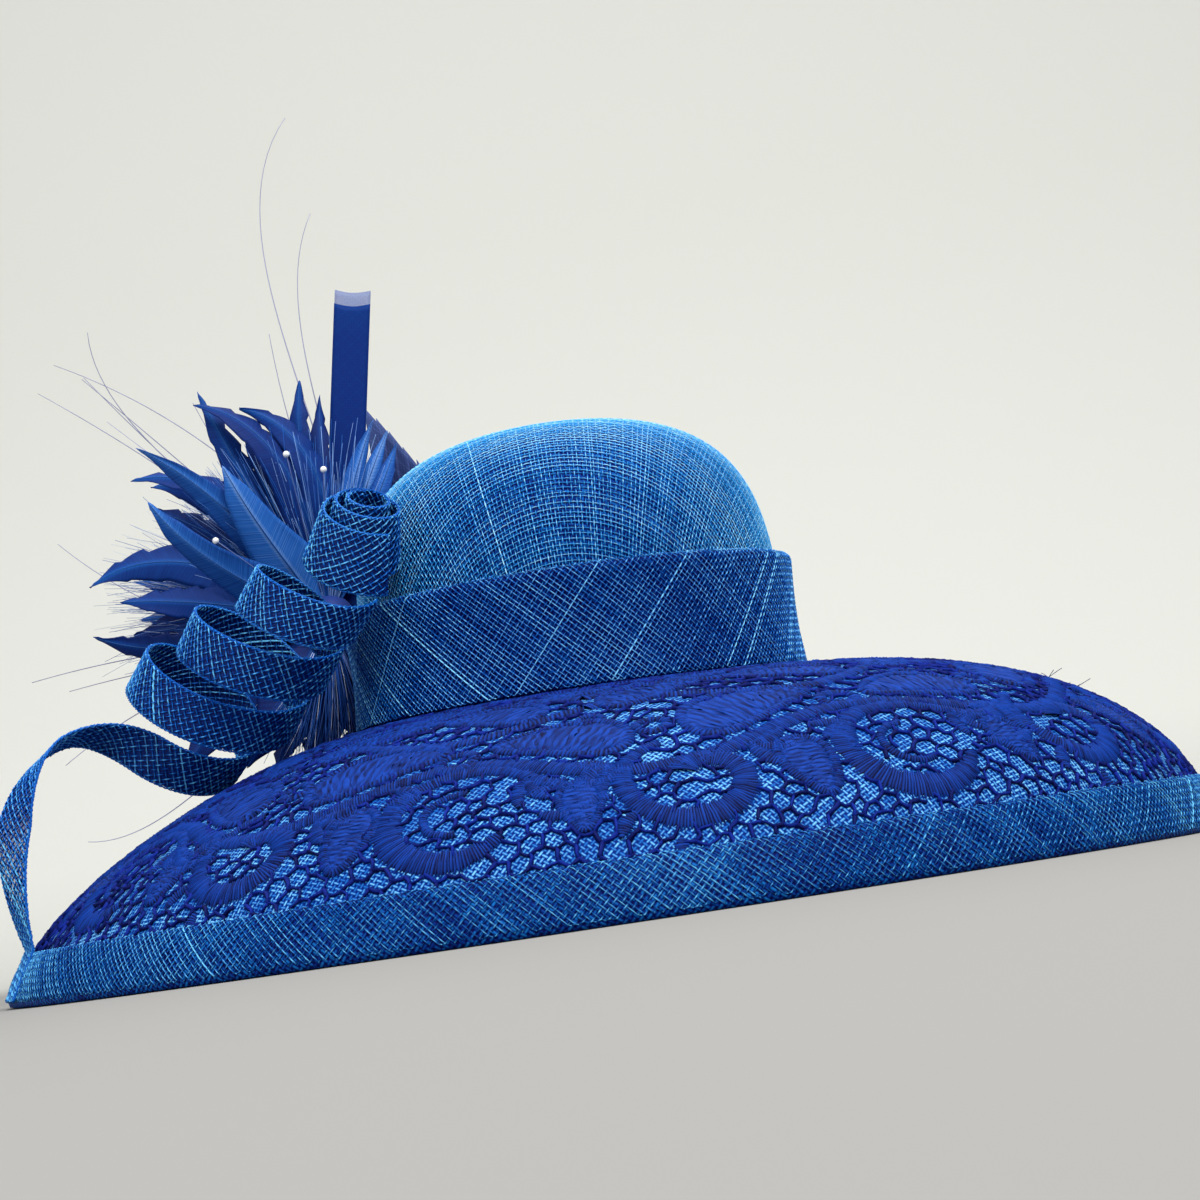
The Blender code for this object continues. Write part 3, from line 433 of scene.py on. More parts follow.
class Shader:
    """Builds one material: every node comes from add()."""

    def __init__(self, name):
        self.material = bpy.data.materials.new(name)
        self.material.use_nodes = True
        self.tree = self.material.node_tree
        self.surface = self.tree.nodes["Principled BSDF"]

    def add(self, kind, settings=None, inputs=None):
        """A node of a type, with its settings set first and then the values or links of its sockets."""
        node = self.tree.nodes.new(kind)
        for key, setting in (settings or {}).items():
            if key == "stops":
                ramp = node.color_ramp
                while len(ramp.elements) < len(setting):
                    ramp.elements.new(0.5)
                for element, (position, colour) in zip(ramp.elements, setting):
                    element.position = position
                    element.color = (*colour, 1.0)
            else:
                setattr(node, key, setting)
        for key, value in (inputs or {}).items():
            self.join(node.inputs[key], value)
        return node

    def join(self, socket, value):
        """Links a value to a socket, or sets the number on it."""
        if isinstance(value, Value):
            self.tree.links.new(value.socket, socket)
        elif isinstance(value, bpy.types.NodeSocket):
            self.tree.links.new(value, socket)
        else:
            socket.default_value = value

    def value(self, kind, settings=None, inputs=None, output=0):
        """One output of a new node as a value."""
        return Value(self, self.add(kind, settings, inputs).outputs[output])

    def number(self, number):
        """A plain number as a value."""
        made = self.add("ShaderNodeValue")
        made.outputs[0].default_value = number
        return Value(self, made.outputs[0])

    def tone(self):
        """The tone that each point carries."""
        return self.value("ShaderNodeAttribute", {"attribute_name": "tone"}, output=2)

    def cloth(self):
        """The two places on the cloth in metres."""
        split = self.add("ShaderNodeSeparateXYZ", None, {0: self.add("ShaderNodeUVMap").outputs[0]})
        return Value(self, split.outputs[0]), Value(self, split.outputs[1])

    def place(self):
        """Object coordinates as a vector socket."""
        return self.add("ShaderNodeTexCoord").outputs["Object"]

    def vector(self, *numbers):
        """A vector of numbers or values."""
        return self.add("ShaderNodeCombineXYZ", None, dict(enumerate(numbers))).outputs[0]

    def noise(self, scale, detail=3.0, vector=None):
        """Soft noise from nought to one."""
        vector = self.place() if vector is None else vector
        return self.value("ShaderNodeTexNoise", None, {"Vector": vector, "Scale": scale, "Detail": detail})

    def chance(self, *numbers):
        """White noise of one or two numbers."""
        inputs = {"Vector": self.vector(*numbers)}
        return self.value("ShaderNodeTexWhiteNoise", {"noise_dimensions": "3D"}, inputs)

    def ramp(self, value, stops):
        """A colour that goes through stops with a value."""
        return self.add("ShaderNodeValToRGB", {"stops": stops}, {0: value}).outputs[0]

    def bump(self, height, strength, distance):
        """Relief from a height."""
        inputs = {"Height": height, "Strength": strength, "Distance": distance}
        self.join(self.surface.inputs["Normal"], self.add("ShaderNodeBump", None, inputs).outputs[0])

    def set(self, **sockets):
        """Sets or links the surface's own sockets; an underscore stands for a space."""
        for name, value in sockets.items():
            self.join(self.surface.inputs[name.replace("_", " ")], value)

    def plain_weave(self, u, v, pitch, width=0.34):
        """Cover and height of a plain weave: two sets of bars, the upper one chosen by the cell's parity."""
        u, v = u / pitch, v / pitch
        row, column = u.math("FLOOR"), v.math("FLOOR")
        over = (row + column) % 2.0
        bar_u = (1.0 - (u - row - 0.5).math("ABSOLUTE") / width).clamped() ** 0.5
        bar_v = (1.0 - (v - column - 0.5).math("ABSOLUTE") / width).clamped() ** 0.5
        high_u = bar_u * (0.6 + over * 0.4)
        high_v = bar_v * (1.0 - over * 0.4)
        shade = self.chance(row, 0.5) * high_u.above(high_v) + self.chance(column, 7.5) * (
            1.0 - high_u.above(high_v)
        )
        return high_u.larger(high_v), shade


def colour(red, green, blue):
    """Linear colour from the eight-bit values seen in daylight."""
    return tuple(((c / 255) ** 2.2) for c in (red, green, blue))


def thread_finish(name, dark, middle, light):
    """Dyed abaca thread: its tone runs from painted shade at the under-crossings, through painted glint on the
    over-crossings, to bright slubs, with fibre relief.
    """
    s = Shader(name)
    mottle = s.noise(900.0, 2.0) * 0.24
    patch = s.noise(16.0, 2.0) * 0.36
    tone = (s.tone() + mottle + patch - 0.30).clamped()
    s.set(Base_Color=s.ramp(tone, ((0.12, dark), (0.50, middle), (0.92, light))))
    s.set(Roughness=0.42, Specular_IOR_Level=0.12)
    s.bump(s.noise(2600.0, 2.0), 0.25, 0.0002)
    return s.material


def ground_finish(name, gap, deep, light, pitch, turn=0.0, width=0.34):
    """Under-layer of open cloth: a plain weave of its own, turned against the threads above it. Its tone
    follows the bars' height, a painted shade in the gaps and where a bar dips under, lighter on the bars'
    tops.
    """
    s = Shader(name)
    u, v = s.cloth()
    cos, sin = math.cos(turn), math.sin(turn)
    u, v = u * cos - v * sin, u * sin + v * cos
    drift = s.noise(60.0, 1.0) * 0.0012
    height, shade = s.plain_weave(u + drift, v + drift, pitch, width)
    patch = s.noise(18.0, 2.0)
    # Painted shade: the tone falls with the bars' height, so the gaps take the darkest stop and each bar is
    # lighter on its top.
    tone = (height * (0.50 + shade * 0.55) * (0.70 + patch * 0.6)).clamped()
    s.set(Base_Color=s.ramp(tone, ((0.12, gap), (0.45, deep), (0.95, light))), Roughness=0.6)
    s.set(Specular_IOR_Level=0.05)
    s.bump(height, 0.6, 0.0005)
    return s.material


def lace_finish(name, dark, light):
    """Lace yarn: matt and fuzzy, darker between the stitches where the tone paints shade, with fine twist
    relief.
    """
    s = Shader(name)
    fuzz = s.noise(2200.0, 3.0)
    patch = s.noise(30.0, 3.0)
    tone = (s.tone() * 0.9 + fuzz * 0.35 + patch * 0.30 - 0.32).clamped()
    s.set(Base_Color=s.ramp(tone, ((0.04, dark), (0.75, light))), Roughness=0.72, Specular_IOR_Level=0.10)
    s.bump(fuzz, 0.5, 0.0004)
    return s.material


def feather_finish(name, dark, middle, light, streak=1.0):
    """Feather vane: barbs run out from the shaft at a slant, in soft streaks, and the shaft is paler."""
    s = Shader(name)
    across, along = s.cloth()
    slant = along * 90.0 - across.math("ABSOLUTE") * 14.0
    barb = s.noise(1.0, 4.0, s.vector(slant * 2.2, across * 0.6))
    fine = s.noise(1.0, 2.0, s.vector(slant * 9.0, across * 1.5))
    shaft = (1.0 - across.math("ABSOLUTE") * 16.0).clamped()
    tone = (s.tone() + (barb - 0.5) * 0.75 * streak + (fine - 0.5) * 0.35 + shaft * 0.30).clamped()
    s.set(Base_Color=s.ramp(tone, ((0.10, dark), (0.50, middle), (0.95, light))), Roughness=0.55)
    s.set(Specular_IOR_Level=0.15)
    s.bump(barb + fine * 0.5, 0.35, 0.0006)
    return s.material


def plain_finish(name, shade, roughness, bumps=0.0):
    """One even colour with a little grain."""
    s = Shader(name)
    grain = s.noise(1500.0, 2.0)
    tinted = tuple(c * 0.75 for c in shade)
    s.set(Base_Color=s.ramp(grain, ((0.3, tinted), (0.7, shade))), Roughness=roughness)
    if bumps:
        s.bump(grain, bumps, 0.0003)
    return s.material


def sheer_finish(name, thin, dense, cover, crosshatch):
    """Sheer ribbon: a very fine weave that lets light through, with a faint crosshatch."""
    s = Shader(name)
    u, v = s.cloth()
    fine, _ = s.plain_weave(u, v, 0.0007, 0.42)
    slant = ((u + v) / crosshatch) % 1.0
    counter = ((u - v) / crosshatch) % 1.0
    lines = (1.0 - slant * 9.0).clamped().larger((1.0 - counter * 9.0).clamped())
    tone = (s.tone() * 0.8 + fine * 0.25 + lines * 0.25).clamped()
    s.set(Base_Color=s.ramp(tone, ((0.15, dense), (0.85, thin))), Roughness=0.6)
    s.set(Specular_IOR_Level=0.1, Alpha=(cover + fine * 0.18 + lines * 0.12 - s.tone() * 0.32).clamped())
    s.bump(fine, 0.3, 0.0002)
    return s.material


class HatSizes(bpy.types.PropertyGroup):
    """Sizes of the finer work that a user would change."""

    crown_pitch: bpy.props.FloatProperty(
        name="Crown thread pitch", description="Distance between the crown's threads",
        default=0.0020, min=0.0012, max=0.004, unit="LENGTH",
    )
    band_pitch: bpy.props.FloatProperty(
        name="Band thread pitch", description="Distance between the band's threads",
        default=0.00185, min=0.0012, max=0.004, unit="LENGTH",
    )
    binding_pitch: bpy.props.FloatProperty(
        name="Binding thread pitch", description="Distance between the binding's threads",
        default=0.0021, min=0.0012, max=0.004, unit="LENGTH",
    )
    ribbon_pitch: bpy.props.FloatProperty(
        name="Ribbon thread pitch", description="Distance between the curled ribbon's threads",
        default=0.0023, min=0.0012, max=0.004, unit="LENGTH",
    )
    thread_radius: bpy.props.FloatProperty(
        name="Thread radius", description="Half the thickness of an abaca thread",
        default=0.00025, min=0.0001, max=0.0006, unit="LENGTH",
    )
    stitch_pitch: bpy.props.FloatProperty(
        name="Stitch pitch", description="Distance between the satin stitches of the lace",
        default=0.0010, min=0.0006, max=0.003, unit="LENGTH",
    )
    net_cell: bpy.props.FloatProperty(
        name="Net cell", description="Size of an opening in the lace's net",
        default=0.0085, min=0.005, max=0.02, unit="LENGTH",
    )


class HatColours(bpy.types.PropertyGroup):
    """Colours that a user would change: dyed colours, and the ends of the cloth and lace ramps that carry
    painted shade and painted glint.
    """

    cloth_dark: bpy.props.FloatVectorProperty(
        name="Cloth in shade", description="Abaca thread in the gaps", subtype="COLOR",
        default=colour(0, 32, 100), min=0, max=1,
    )
    cloth_middle: bpy.props.FloatVectorProperty(
        name="Cloth", description="Abaca thread in the light", subtype="COLOR",
        default=colour(40, 146, 222), min=0, max=1,
    )
    # The light end of the cloth is both its slubs and the painted glint on the over-crossings.
    cloth_light: bpy.props.FloatVectorProperty(
        name="Cloth slubs", description="Brightest abaca threads and painted glints", subtype="COLOR",
        default=colour(160, 224, 252), min=0, max=1,
    )
    lace_dark: bpy.props.FloatVectorProperty(
        name="Lace in shade", description="Lace yarn between the stitches", subtype="COLOR",
        default=colour(0, 4, 46), min=0, max=1,
    )
    lace_light: bpy.props.FloatVectorProperty(
        name="Lace", description="Lace yarn in the light", subtype="COLOR",
        default=colour(18, 60, 150), min=0, max=1,
    )
    feather: bpy.props.FloatVectorProperty(
        name="Feather", description="Trimmed feathers", subtype="COLOR",
        default=colour(12, 92, 170), min=0, max=1,
    )


def sizes():
    """The size properties of the open scene."""
    return bpy.context.scene.hat_sizes


def colours():
    """The colour properties of the open scene."""
    return bpy.context.scene.hat_colours


def crown_cloth(u, v):
    """Flat cloth to the crown: a place's direction is kept and its distance becomes the run from the apex."""
    return CROWN.at(np.arctan2(v, u), np.hypot(u, v))


def around(skin, radius):
    """Cloth that goes round: u is metres round at a radius, v is metres along the section."""

    def surface(u, v):
        return skin.at(u / radius, v)

    return surface


class HAT_OT_crown(bpy.types.Operator):
    """Crown: a dark under-layer with a turned weave, and threads that follow the dome from its apex"""

    bl_idname = "hat.crown"
    bl_label = "Crown"

    def execute(self, context):
        angle, share = np.meshgrid(np.linspace(0, TAU, 97), np.linspace(0, 1, 41), indexing="ij")
        run = share * CROWN.length(angle)
        places, _ = CROWN.at(angle, run, -0.0003)
        flat = np.stack([run * np.cos(angle), run * np.sin(angle)], axis=2)
        ground = Shape()
        ground.grid(places[:, 1:], uv=flat[:, 1:], flip=True)
        tip, _ = CROWN.at(0.0, 0.0, -0.0003)
        ring = np.arange(97) * 40
        cap = np.stack([np.full(96, len(ground.points[0])), ring[:-1], ring[1:]], axis=1)
        ground.points[0] = np.concatenate([ground.points[0], [tip]])
        ground.tones[0] = np.append(ground.tones[0], 0.5)
        ground.uvs[0] = np.concatenate([ground.uvs[0], [[0, 0]]])
        ground.count += 1
        ground.faces.append(cap)
        # Painted shade: this under-layer is darker than the threads above it, and its first colour, the
        # darkest, fills the gaps of its weave.
        finish = ground_finish(
            "crown_under_layer", colour(0, 16, 80), colour(2, 46, 124), colour(22, 104, 190), 0.0020,
            math.radians(7), 0.36,
        )
        put(ground, "crown_shell", finish, "crown", wall=CROWN_WALL - GAP, seam=True)
        threads = Shape()
        reach = CROWN.length(0.0) - 0.034

        def keep(u, v):
            place, _ = crown_cloth(u, v)
            return place[..., 2] > BAND_HIGH[2] - 0.003

        weave(
            threads, crown_cloth, (-reach, reach), (-reach, reach),
            (sizes().crown_pitch, sizes().crown_pitch * 1.08), 0.0,
            sizes().thread_radius * 0.88, 3, keep=keep,
        )
        finish = thread_finish(
            "crown_thread", colours().cloth_dark, colours().cloth_middle, colours().cloth_light
        )
        put(threads, "crown_threads", finish, "crown")
        return {"FINISHED"}


class HAT_OT_brim(bpy.types.Operator):
    """Brim: one blocked shell of bright open cloth on the bias, with the collar inside the crown"""

    bl_idname = "hat.brim"
    bl_label = "Brim"

    def execute(self, context):
        angle, share = np.meshgrid(np.linspace(0, TAU, 121), np.linspace(0, 1, 37), indexing="ij")
        run = share * BRIM.length(angle)
        places, _ = BRIM.at(angle, run)
        inset = CROWN_WALL + GAP
        x = (CROWN_HIGH[0] - inset) * np.cos(angle[:, 0])
        y = (CROWN_HIGH[1] - inset) * np.sin(angle[:, 0])
        heights = (BRIM_HIGH[2], BRIM_HIGH[2] - 0.006, CREST + 0.0006)
        collar = [np.stack([x, y, np.full(len(x), height)], axis=1) for height in heights]
        places = np.concatenate([np.stack(collar, axis=1), places], axis=1)
        flat = np.stack([np.cos(angle), np.sin(angle)], axis=2) * (run + CROWN_HIGH[0])[..., None]
        flat = np.concatenate([flat[:, :1]] * 3 + [flat], axis=1)
        shell = Shape()
        shell.grid(places, uv=flat, flip=True)
        # Painted shade: the first colour fills the gaps of the weave, and the tone paints each bar lighter on
        # its top.
        finish = ground_finish(
            "brim_cloth", colour(2, 34, 104), colour(12, 84, 168), colour(118, 190, 232), 0.0019,
            math.radians(45), 0.30,
        )
        put(shell, "brim_shell", finish, "brim", wall=BRIM_WALL, seam=True)
        return {"FINISHED"}


def lace_place(angle, run, x, y, lift):
    """Brim place x metres round and y metres outwards from a centre, lifted off the cloth."""
    run = run + y
    return BRIM.at(angle + x / BRIM.ring(angle, run), run, LACE_LIFT + lift)


# Columns across a band of stitches, and the share of its height that a groove keeps
FILLING, EDGING = (-1, -0.86, -0.5, -0.17, 0.17, 0.5, 0.86, 1), (-1, -0.8, 0, 0.8, 1)
FILLING_GROOVE, EDGING_GROOVE = 0.72, 0.42


def stroke(shape, centre, line, half, rng, pitch, relief=0.0011, filled=False):
    """A satin-stitched band along a line: a cushion with a ridge for each stitch and a groove between two.

    The line is x and y in metres about the centre. Ridges run a little past the band's edge, each by its
    own length, and the edges go down into the cloth. A filling's stitches are broken into short ones.
    """
    x, y = line
    half = np.broadcast_to(half, x.shape)
    length = np.concatenate([[0], np.cumsum(np.hypot(np.diff(x), np.diff(y)))])
    rows = 2 * max(int(length[-1] / pitch), 3) + 1
    mark = (np.arange(rows) + np.append(rng.uniform(-0.34, 0.34, rows - 1), 0)) / (rows - 1)
    mark = np.clip(mark, 0, 1) * length[-1]
    tangent = unit(np.stack([np.gradient(x), np.gradient(y)], axis=1))
    middle_x, middle_y, wide, tx, ty = (np.interp(mark, length, v) for v in (x, y, half, *tangent.T))
    across = np.array(FILLING if filled else EDGING)
    crest = (np.arange(rows) % 2 == 0)[:, None]
    ragged = np.where(crest, rng.uniform(0.88, 1.32, (rows, 2)), 0.78)
    reach = across * np.where(across < 0, ragged[:, :1], ragged[:, 1:]) * wide[:, None]
    slide = rng.normal(0, 0.14, (rows, 1)) * crest * pitch * across
    if filled:
        crest = (np.arange(rows)[:, None] + 2 * (np.arange(len(across)) // 2 % 2)) % 4 < 2
        reach = across * wide[:, None]
        slide = 0.3 * pitch * rng.normal(0, 1, (rows, len(across)))
    px = middle_x[:, None] + tx[:, None] * slide - ty[:, None] * reach
    py = middle_y[:, None] + ty[:, None] * slide + tx[:, None] * reach
    groove = FILLING_GROOVE if filled else EDGING_GROOVE
    high = relief * np.sqrt(np.maximum(1.05 - across**2, 0)) * np.where(crest, 1.0, groove)
    high = high + relief * 0.10 * rng.normal(0, 1, high.shape).clip(-1.5, 1.5)
    high[:, [0, -1]] = -0.0006
    places, _ = lace_place(*centre, px, py, high)
    # Painted shade: the grooves between stitches take a low tone and the edges, where the band goes down into
    # the cloth, are darkened more; the crests' tone varies at random.
    tone = np.where(crest, rng.uniform(0.50, 1.05, (rows, 1)), groove - EDGING_GROOVE)
    tone = tone + rng.normal(0, 0.10, high.shape)
    tone[:, [0, -1]] *= 0.4
    shape.grid(places, tone=tone, flip=True)


def leaf_outline(length, width, bend, count=48):
    """A pointed leaf: width follows sin(t) * (1 + 0.35 cos(t)), and the middle line bends sideways."""
    t = np.linspace(0, TAU, count)
    x = -length / 2 * np.cos(t)
    y = width / 2 * np.sin(t) * (1 + 0.35 * np.cos(t))
    return x, y + bend * (x / length * 2) ** 2 * width


def leaf_middle(length, width, bend, count=30):
    """Middle line of the same leaf, and its half width along it."""
    t = np.linspace(0.12, math.pi - 0.12, count)
    x = -length / 2 * np.cos(t)
    return (x, bend * (x / length * 2) ** 2 * width), width / 2 * np.sin(t) * (1 + 0.35 * np.cos(t)) * 0.94


def turned_line(line, turn, shift=(0.0, 0.0), mirror=1):
    """A line mirrored, turned and moved."""
    x, y = line[0] * mirror, line[1]
    cos, sin = math.cos(turn), math.sin(turn)
    return x * cos - y * sin + shift[0], x * sin + y * cos + shift[1]


def scroll_line(turns, start, outer, inner, stretch=1.12):
    """A spiral that winds in: the radius falls evenly from the outer to the inner one with the angle."""
    t = np.linspace(0, 1, 60)
    radius = outer + (inner - outer) * t**1.3
    angle = start + turns * TAU * t
    return radius * np.cos(angle) * stretch, -radius * np.sin(angle)


LACE_REPEATS = 8
# Motifs of one repeat: share of the repeat round, share of the way out, kind, turn in degrees, mirror, scale
LACE_MOTIFS = (
    (0.20, 0.800, "scroll", 0, 1, 1.00),
    (0.70, 0.800, "hook", 0, 1, 1.00),
    (0.455, 0.815, "oval", 90, 1, 1.00),
    (0.955, 0.830, "oval", 90, 1, 0.80),
    (0.42, 0.520, "leaf", -18, 1, 1.00),
    (0.93, 0.545, "leaf", 14, -1, 0.90),
    (0.66, 0.575, "ring", 0, 1, 1.00),
    (0.16, 0.560, "ring", 0, 1, 0.85),
    (0.22, 0.300, "leaf", -24, 1, 0.78),
    (0.72, 0.300, "leaf", 22, -1, 0.78),
    (0.47, 0.190, "oval", 0, 1, 0.80),
    (0.97, 0.190, "oval", 0, 1, 0.80),
    (0.35, 0.720, "spray", 20, 1, 1.10),
    (0.60, 0.700, "spray", 160, 1, 1.00),
    (0.05, 0.715, "spray", 150, 1, 1.10),
    (0.86, 0.710, "spray", 60, 1, 1.00),
    (0.50, 0.460, "ring", 0, 1, 0.70),
    (0.02, 0.470, "ring", 0, 1, 0.70),
)
# Garlands that go all the way round: share of the way out, waves in a repeat, swing, half width, phase
GARLANDS = (
    (0.675, 1, 0.0110, 0.0040, 0.10),
    (0.410, 1, 0.0090, 0.0038, 0.62),
    (0.235, 2, 0.0060, 0.0032, 0.25),
    (0.105, 2, 0.0038, 0.0036, 0.75),
    (0.035, 4, 0.0016, 0.0028, 0.00),
)


def lace_run(share, angle):
    """Run along the brim for a share of the way from the crown to the binding."""
    return share * (BRIM.length(angle) - BINDING_WIDTH)


def motif(kind, turn, mirror, scale):
    """Bands of one motif: lines, their half widths, and whether each is a filling."""
    t = np.linspace(0, 1, 60)
    turn = math.radians(turn)
    bands = []

    def leaf(length, width, bend, edge, extra=0.0, shift=(0.0, 0.0)):
        line, half = leaf_middle(length * scale, width * scale, bend)
        bands.append((turned_line(line, turn + extra, shift, mirror), half, True))
        outline = leaf_outline(length * scale, width * scale, bend)
        bands.append((turned_line(outline, turn + extra, shift, mirror), edge * scale, False))

    def twig(length, width, extra, shift):
        line = (np.linspace(0, length * scale, 16), 0.10 * length * scale * np.sin(np.linspace(0, 3.1, 16)))
        half = width * scale * np.sin(np.linspace(0.25, 2.95, 16))
        spot = (shift[0] * scale * mirror, shift[1] * scale)
        bands.append((turned_line(line, extra, spot), half, False))

    if kind == "scroll":
        line = scroll_line(1.08, math.radians(110), 0.0250 * scale, 0.0062 * scale)
        half = scale * np.interp(t, [0, 0.15, 0.45, 0.8, 1.0], [0.0022, 0.0040, 0.0056, 0.0048, 0.0062])
        bands.append((turned_line(line, turn, mirror=mirror), half, False))
        for extra, place in ((2.2, (-0.024, 0.012)), (2.8, (-0.030, 0.002)), (1.5, (-0.012, 0.026))):
            twig(0.013, 0.0030, extra if mirror > 0 else math.pi - extra, place)
    elif kind == "hook":
        line = scroll_line(0.80, math.radians(35), 0.0265 * scale, 0.0200 * scale)
        half = scale * np.interp(t, [0, 0.3, 0.6, 0.85, 1.0], [0.0022, 0.0040, 0.0066, 0.0052, 0.0024])
        wave = 0.010 * np.sin(np.linspace(-0.4, 2.6, 40))
        tail = (np.linspace(0.020, 0.058, 40) * scale, -0.016 * scale + wave)
        bands.append((turned_line(line, turn, mirror=mirror), half, False))
        bands.append((turned_line(tail, turn, mirror=mirror), 0.0026 * scale, False))
        inner = scroll_line(0.55, math.radians(80), 0.0125 * scale, 0.0090 * scale)
        bands.append((turned_line(inner, turn, mirror=mirror), 0.0018 * scale, False))
        for extra, place in ((-0.6, (0.026, -0.004)), (0.2, (0.030, 0.006))):
            twig(0.012, 0.0028, extra if mirror > 0 else math.pi - extra, place)
    elif kind == "oval":
        leaf(0.031, 0.018, 0.0, 0.0021)
    elif kind == "leaf":
        leaf(0.056, 0.027, 0.22, 0.0025)
    elif kind == "spray":
        for extra in (-0.7, 0.0, 0.7):
            twig(0.016, 0.0032, turn + extra + (0 if mirror > 0 else math.pi), (0.0, 0.0))
    else:
        ring = np.linspace(0, TAU, 40)
        bands.append(((0.0068 * scale * np.cos(ring), 0.0062 * scale * np.sin(ring)), 0.0024 * scale, False))
    return bands


def net(shape, covered, rng):
    """Irregular net: bars join the middles of neighbouring triangles between scattered points.

    The points are a staggered grid on the flat cloth, moved about at random; three bars meet at each middle.
    """
    cell = sizes().net_cell
    reach = CROWN_HIGH[0] + BRIM.lengths.max()
    rows = int(reach / cell) + 2
    i, j = np.meshgrid(np.arange(-rows, rows + 1), np.arange(-rows, rows + 1), indexing="ij")
    points = np.stack([(i + 0.5 * (j % 2)) * cell, j * cell * 0.86], axis=-1).reshape(-1, 2)
    points += rng.uniform(-0.40, 0.40, points.shape) * cell
    radius = np.hypot(*points.T)
    points = points[(radius > CROWN_HIGH[0] - cell) & (radius < reach + cell)]
    found = geometry.delaunay_2d_cdt([Vector(p) for p in points], [], [], 0, 1e-9)
    corners = np.array([tuple(v) for v in found[0]])
    triangles = np.array([f for f in found[2] if len(f) == 3])
    middles = corners[triangles].mean(axis=1)
    edges = np.concatenate([triangles[:, [0, 1]], triangles[:, [1, 2]], triangles[:, [2, 0]]])
    edges = np.sort(edges, axis=1)
    owner = np.tile(np.arange(len(triangles)), 3)
    _, key, number = np.unique(edges, axis=0, return_inverse=True, return_counts=True)
    order = np.argsort(key.reshape(-1), kind="stable")
    first = np.concatenate([[0], np.cumsum(number)[:-1]])[number == 2]
    bars = np.stack([owner[order[first]], owner[order[first + 1]]], axis=1)
    start, end = middles[bars[:, 0]], middles[bars[:, 1]]
    middle = (start + end) / 2 + rng.normal(0, 0.06, start.shape) * cell
    angle, run = np.arctan2(middle[:, 1], middle[:, 0]), np.hypot(*middle.T) - CROWN_HIGH[0]
    free = (run > 0.004) & (run < BRIM.length(angle) - BINDING_WIDTH + 0.004) & ~covered(middle)
    free &= rng.random(len(free)) > 0.05
    start, end, middle = start[free], end[free], middle[free]
    line = np.stack([start, middle, end], axis=1)
    angle, run = np.arctan2(line[..., 1], line[..., 0]), np.hypot(line[..., 0], line[..., 1]) - CROWN_HIGH[0]
    thick = rng.uniform(0.75, 1.25, (len(line), 1)) * np.array([1.35, 0.95, 1.35])[None]
    places, normals = BRIM.at(angle, run, LACE_LIFT + 0.00042)
    tubes(shape, places, normals, 0.00056 * thick, rng.uniform(0.25, 0.85, len(line)), flat=1.5)


class HAT_OT_lace(bpy.types.Operator):
    """Lace: scrolls, leaves and garlands in satin stitch, on an irregular net over the whole brim"""

    bl_idname = "hat.lace"
    bl_label = "Lace"

    def execute(self, context):
        rng = np.random.default_rng(11)
        outer, inner = Shape(), Shape()
        spots = []

        def note(centre, line, half):
            """Remembers where the net is covered, on the flat cloth."""
            angle, run = centre
            run = run + line[1][::3]
            angle = angle + line[0][::3] / BRIM.ring(angle, run)
            reach = run + CROWN_HIGH[0]
            wide = np.broadcast_to(half, line[0].shape)[::3]
            spots.append(np.stack([reach * np.cos(angle), reach * np.sin(angle), wide], axis=1))

        for repeat in range(LACE_REPEATS):
            for around_share, out_share, kind, turn, mirror, scale in LACE_MOTIFS:
                angle = (repeat + around_share + rng.uniform(-0.012, 0.012)) * TAU / LACE_REPEATS
                centre = (angle, lace_run(out_share, angle))
                target = outer if out_share > 0.6 else inner
                for line, half, filled in motif(kind, turn + rng.uniform(-5, 5), mirror, scale):
                    pitch = sizes().stitch_pitch * (1.05 if out_share > 0.6 else 1.6)
                    stroke(target, centre, line, half, rng, pitch, 0.0009 if filled else 0.0012, filled)
                    note(centre, line, half)
        for share, waves, swing, half, phase in GARLANDS:
            for repeat in range(LACE_REPEATS):
                t = np.linspace(0, 1, 70)
                angle = (repeat + t) * TAU / LACE_REPEATS
                middle = (repeat + 0.5) * TAU / LACE_REPEATS
                run = lace_run(share, angle) + swing * np.sin(TAU * (waves * t + phase))
                centre = (middle, lace_run(share, middle))
                line = ((angle - middle) * BRIM.ring(middle, run), run - centre[1])
                pitch = sizes().stitch_pitch * (1.05 if share > 0.6 else 1.6)
                stroke(outer if share > 0.6 else inner, centre, line, half, rng, pitch)
                note(centre, line, half)
        spots = np.concatenate(spots)

        def covered(places):
            """Whether a place on the flat cloth lies under a motif."""
            hidden = np.zeros(len(places), bool)
            for part in range(0, len(places), 500):
                gap = np.hypot(*(places[part:part + 500, None] - spots[None, :, :2]).transpose(2, 0, 1))
                hidden[part:part + 500] = (gap < spots[None, :, 2] * 0.9).any(axis=1)
            return hidden

        mesh = Shape()
        net(mesh, covered, rng)
        finish = lace_finish("lace_yarn", colours().lace_dark, colours().lace_light)
        ground = lace_finish("lace_net", colours().lace_dark, colour(16, 40, 132))
        put(mesh, "lace_net", ground, "brim_lace")
        put(outer, "lace_stitches_outer", finish, "brim_lace")
        put(inner, "lace_stitches_inner", finish, "brim_lace")
        fray = Shape()
        count = 9
        angle, share = rng.normal(0.06, 0.035, (count, 1)), np.linspace(0, 1, 9)[None]
        run = 0.60 * BRIM.length(0.0) + rng.normal(0, 0.006, (count, 1))
        bend = rng.normal(0, 1.6, (count, 1))
        lift = 0.0010 + rng.uniform(0.003, 0.008, (count, 1)) * share
        places, normals = BRIM.at(angle + bend * share**2 * 0.04, run - 0.004 * share * bend, lift)
        tubes(fray, places, normals, 0.00016, 0.4)
        put(fray, "loose_threads", finish, "brim_lace")
        return {"FINISHED"}


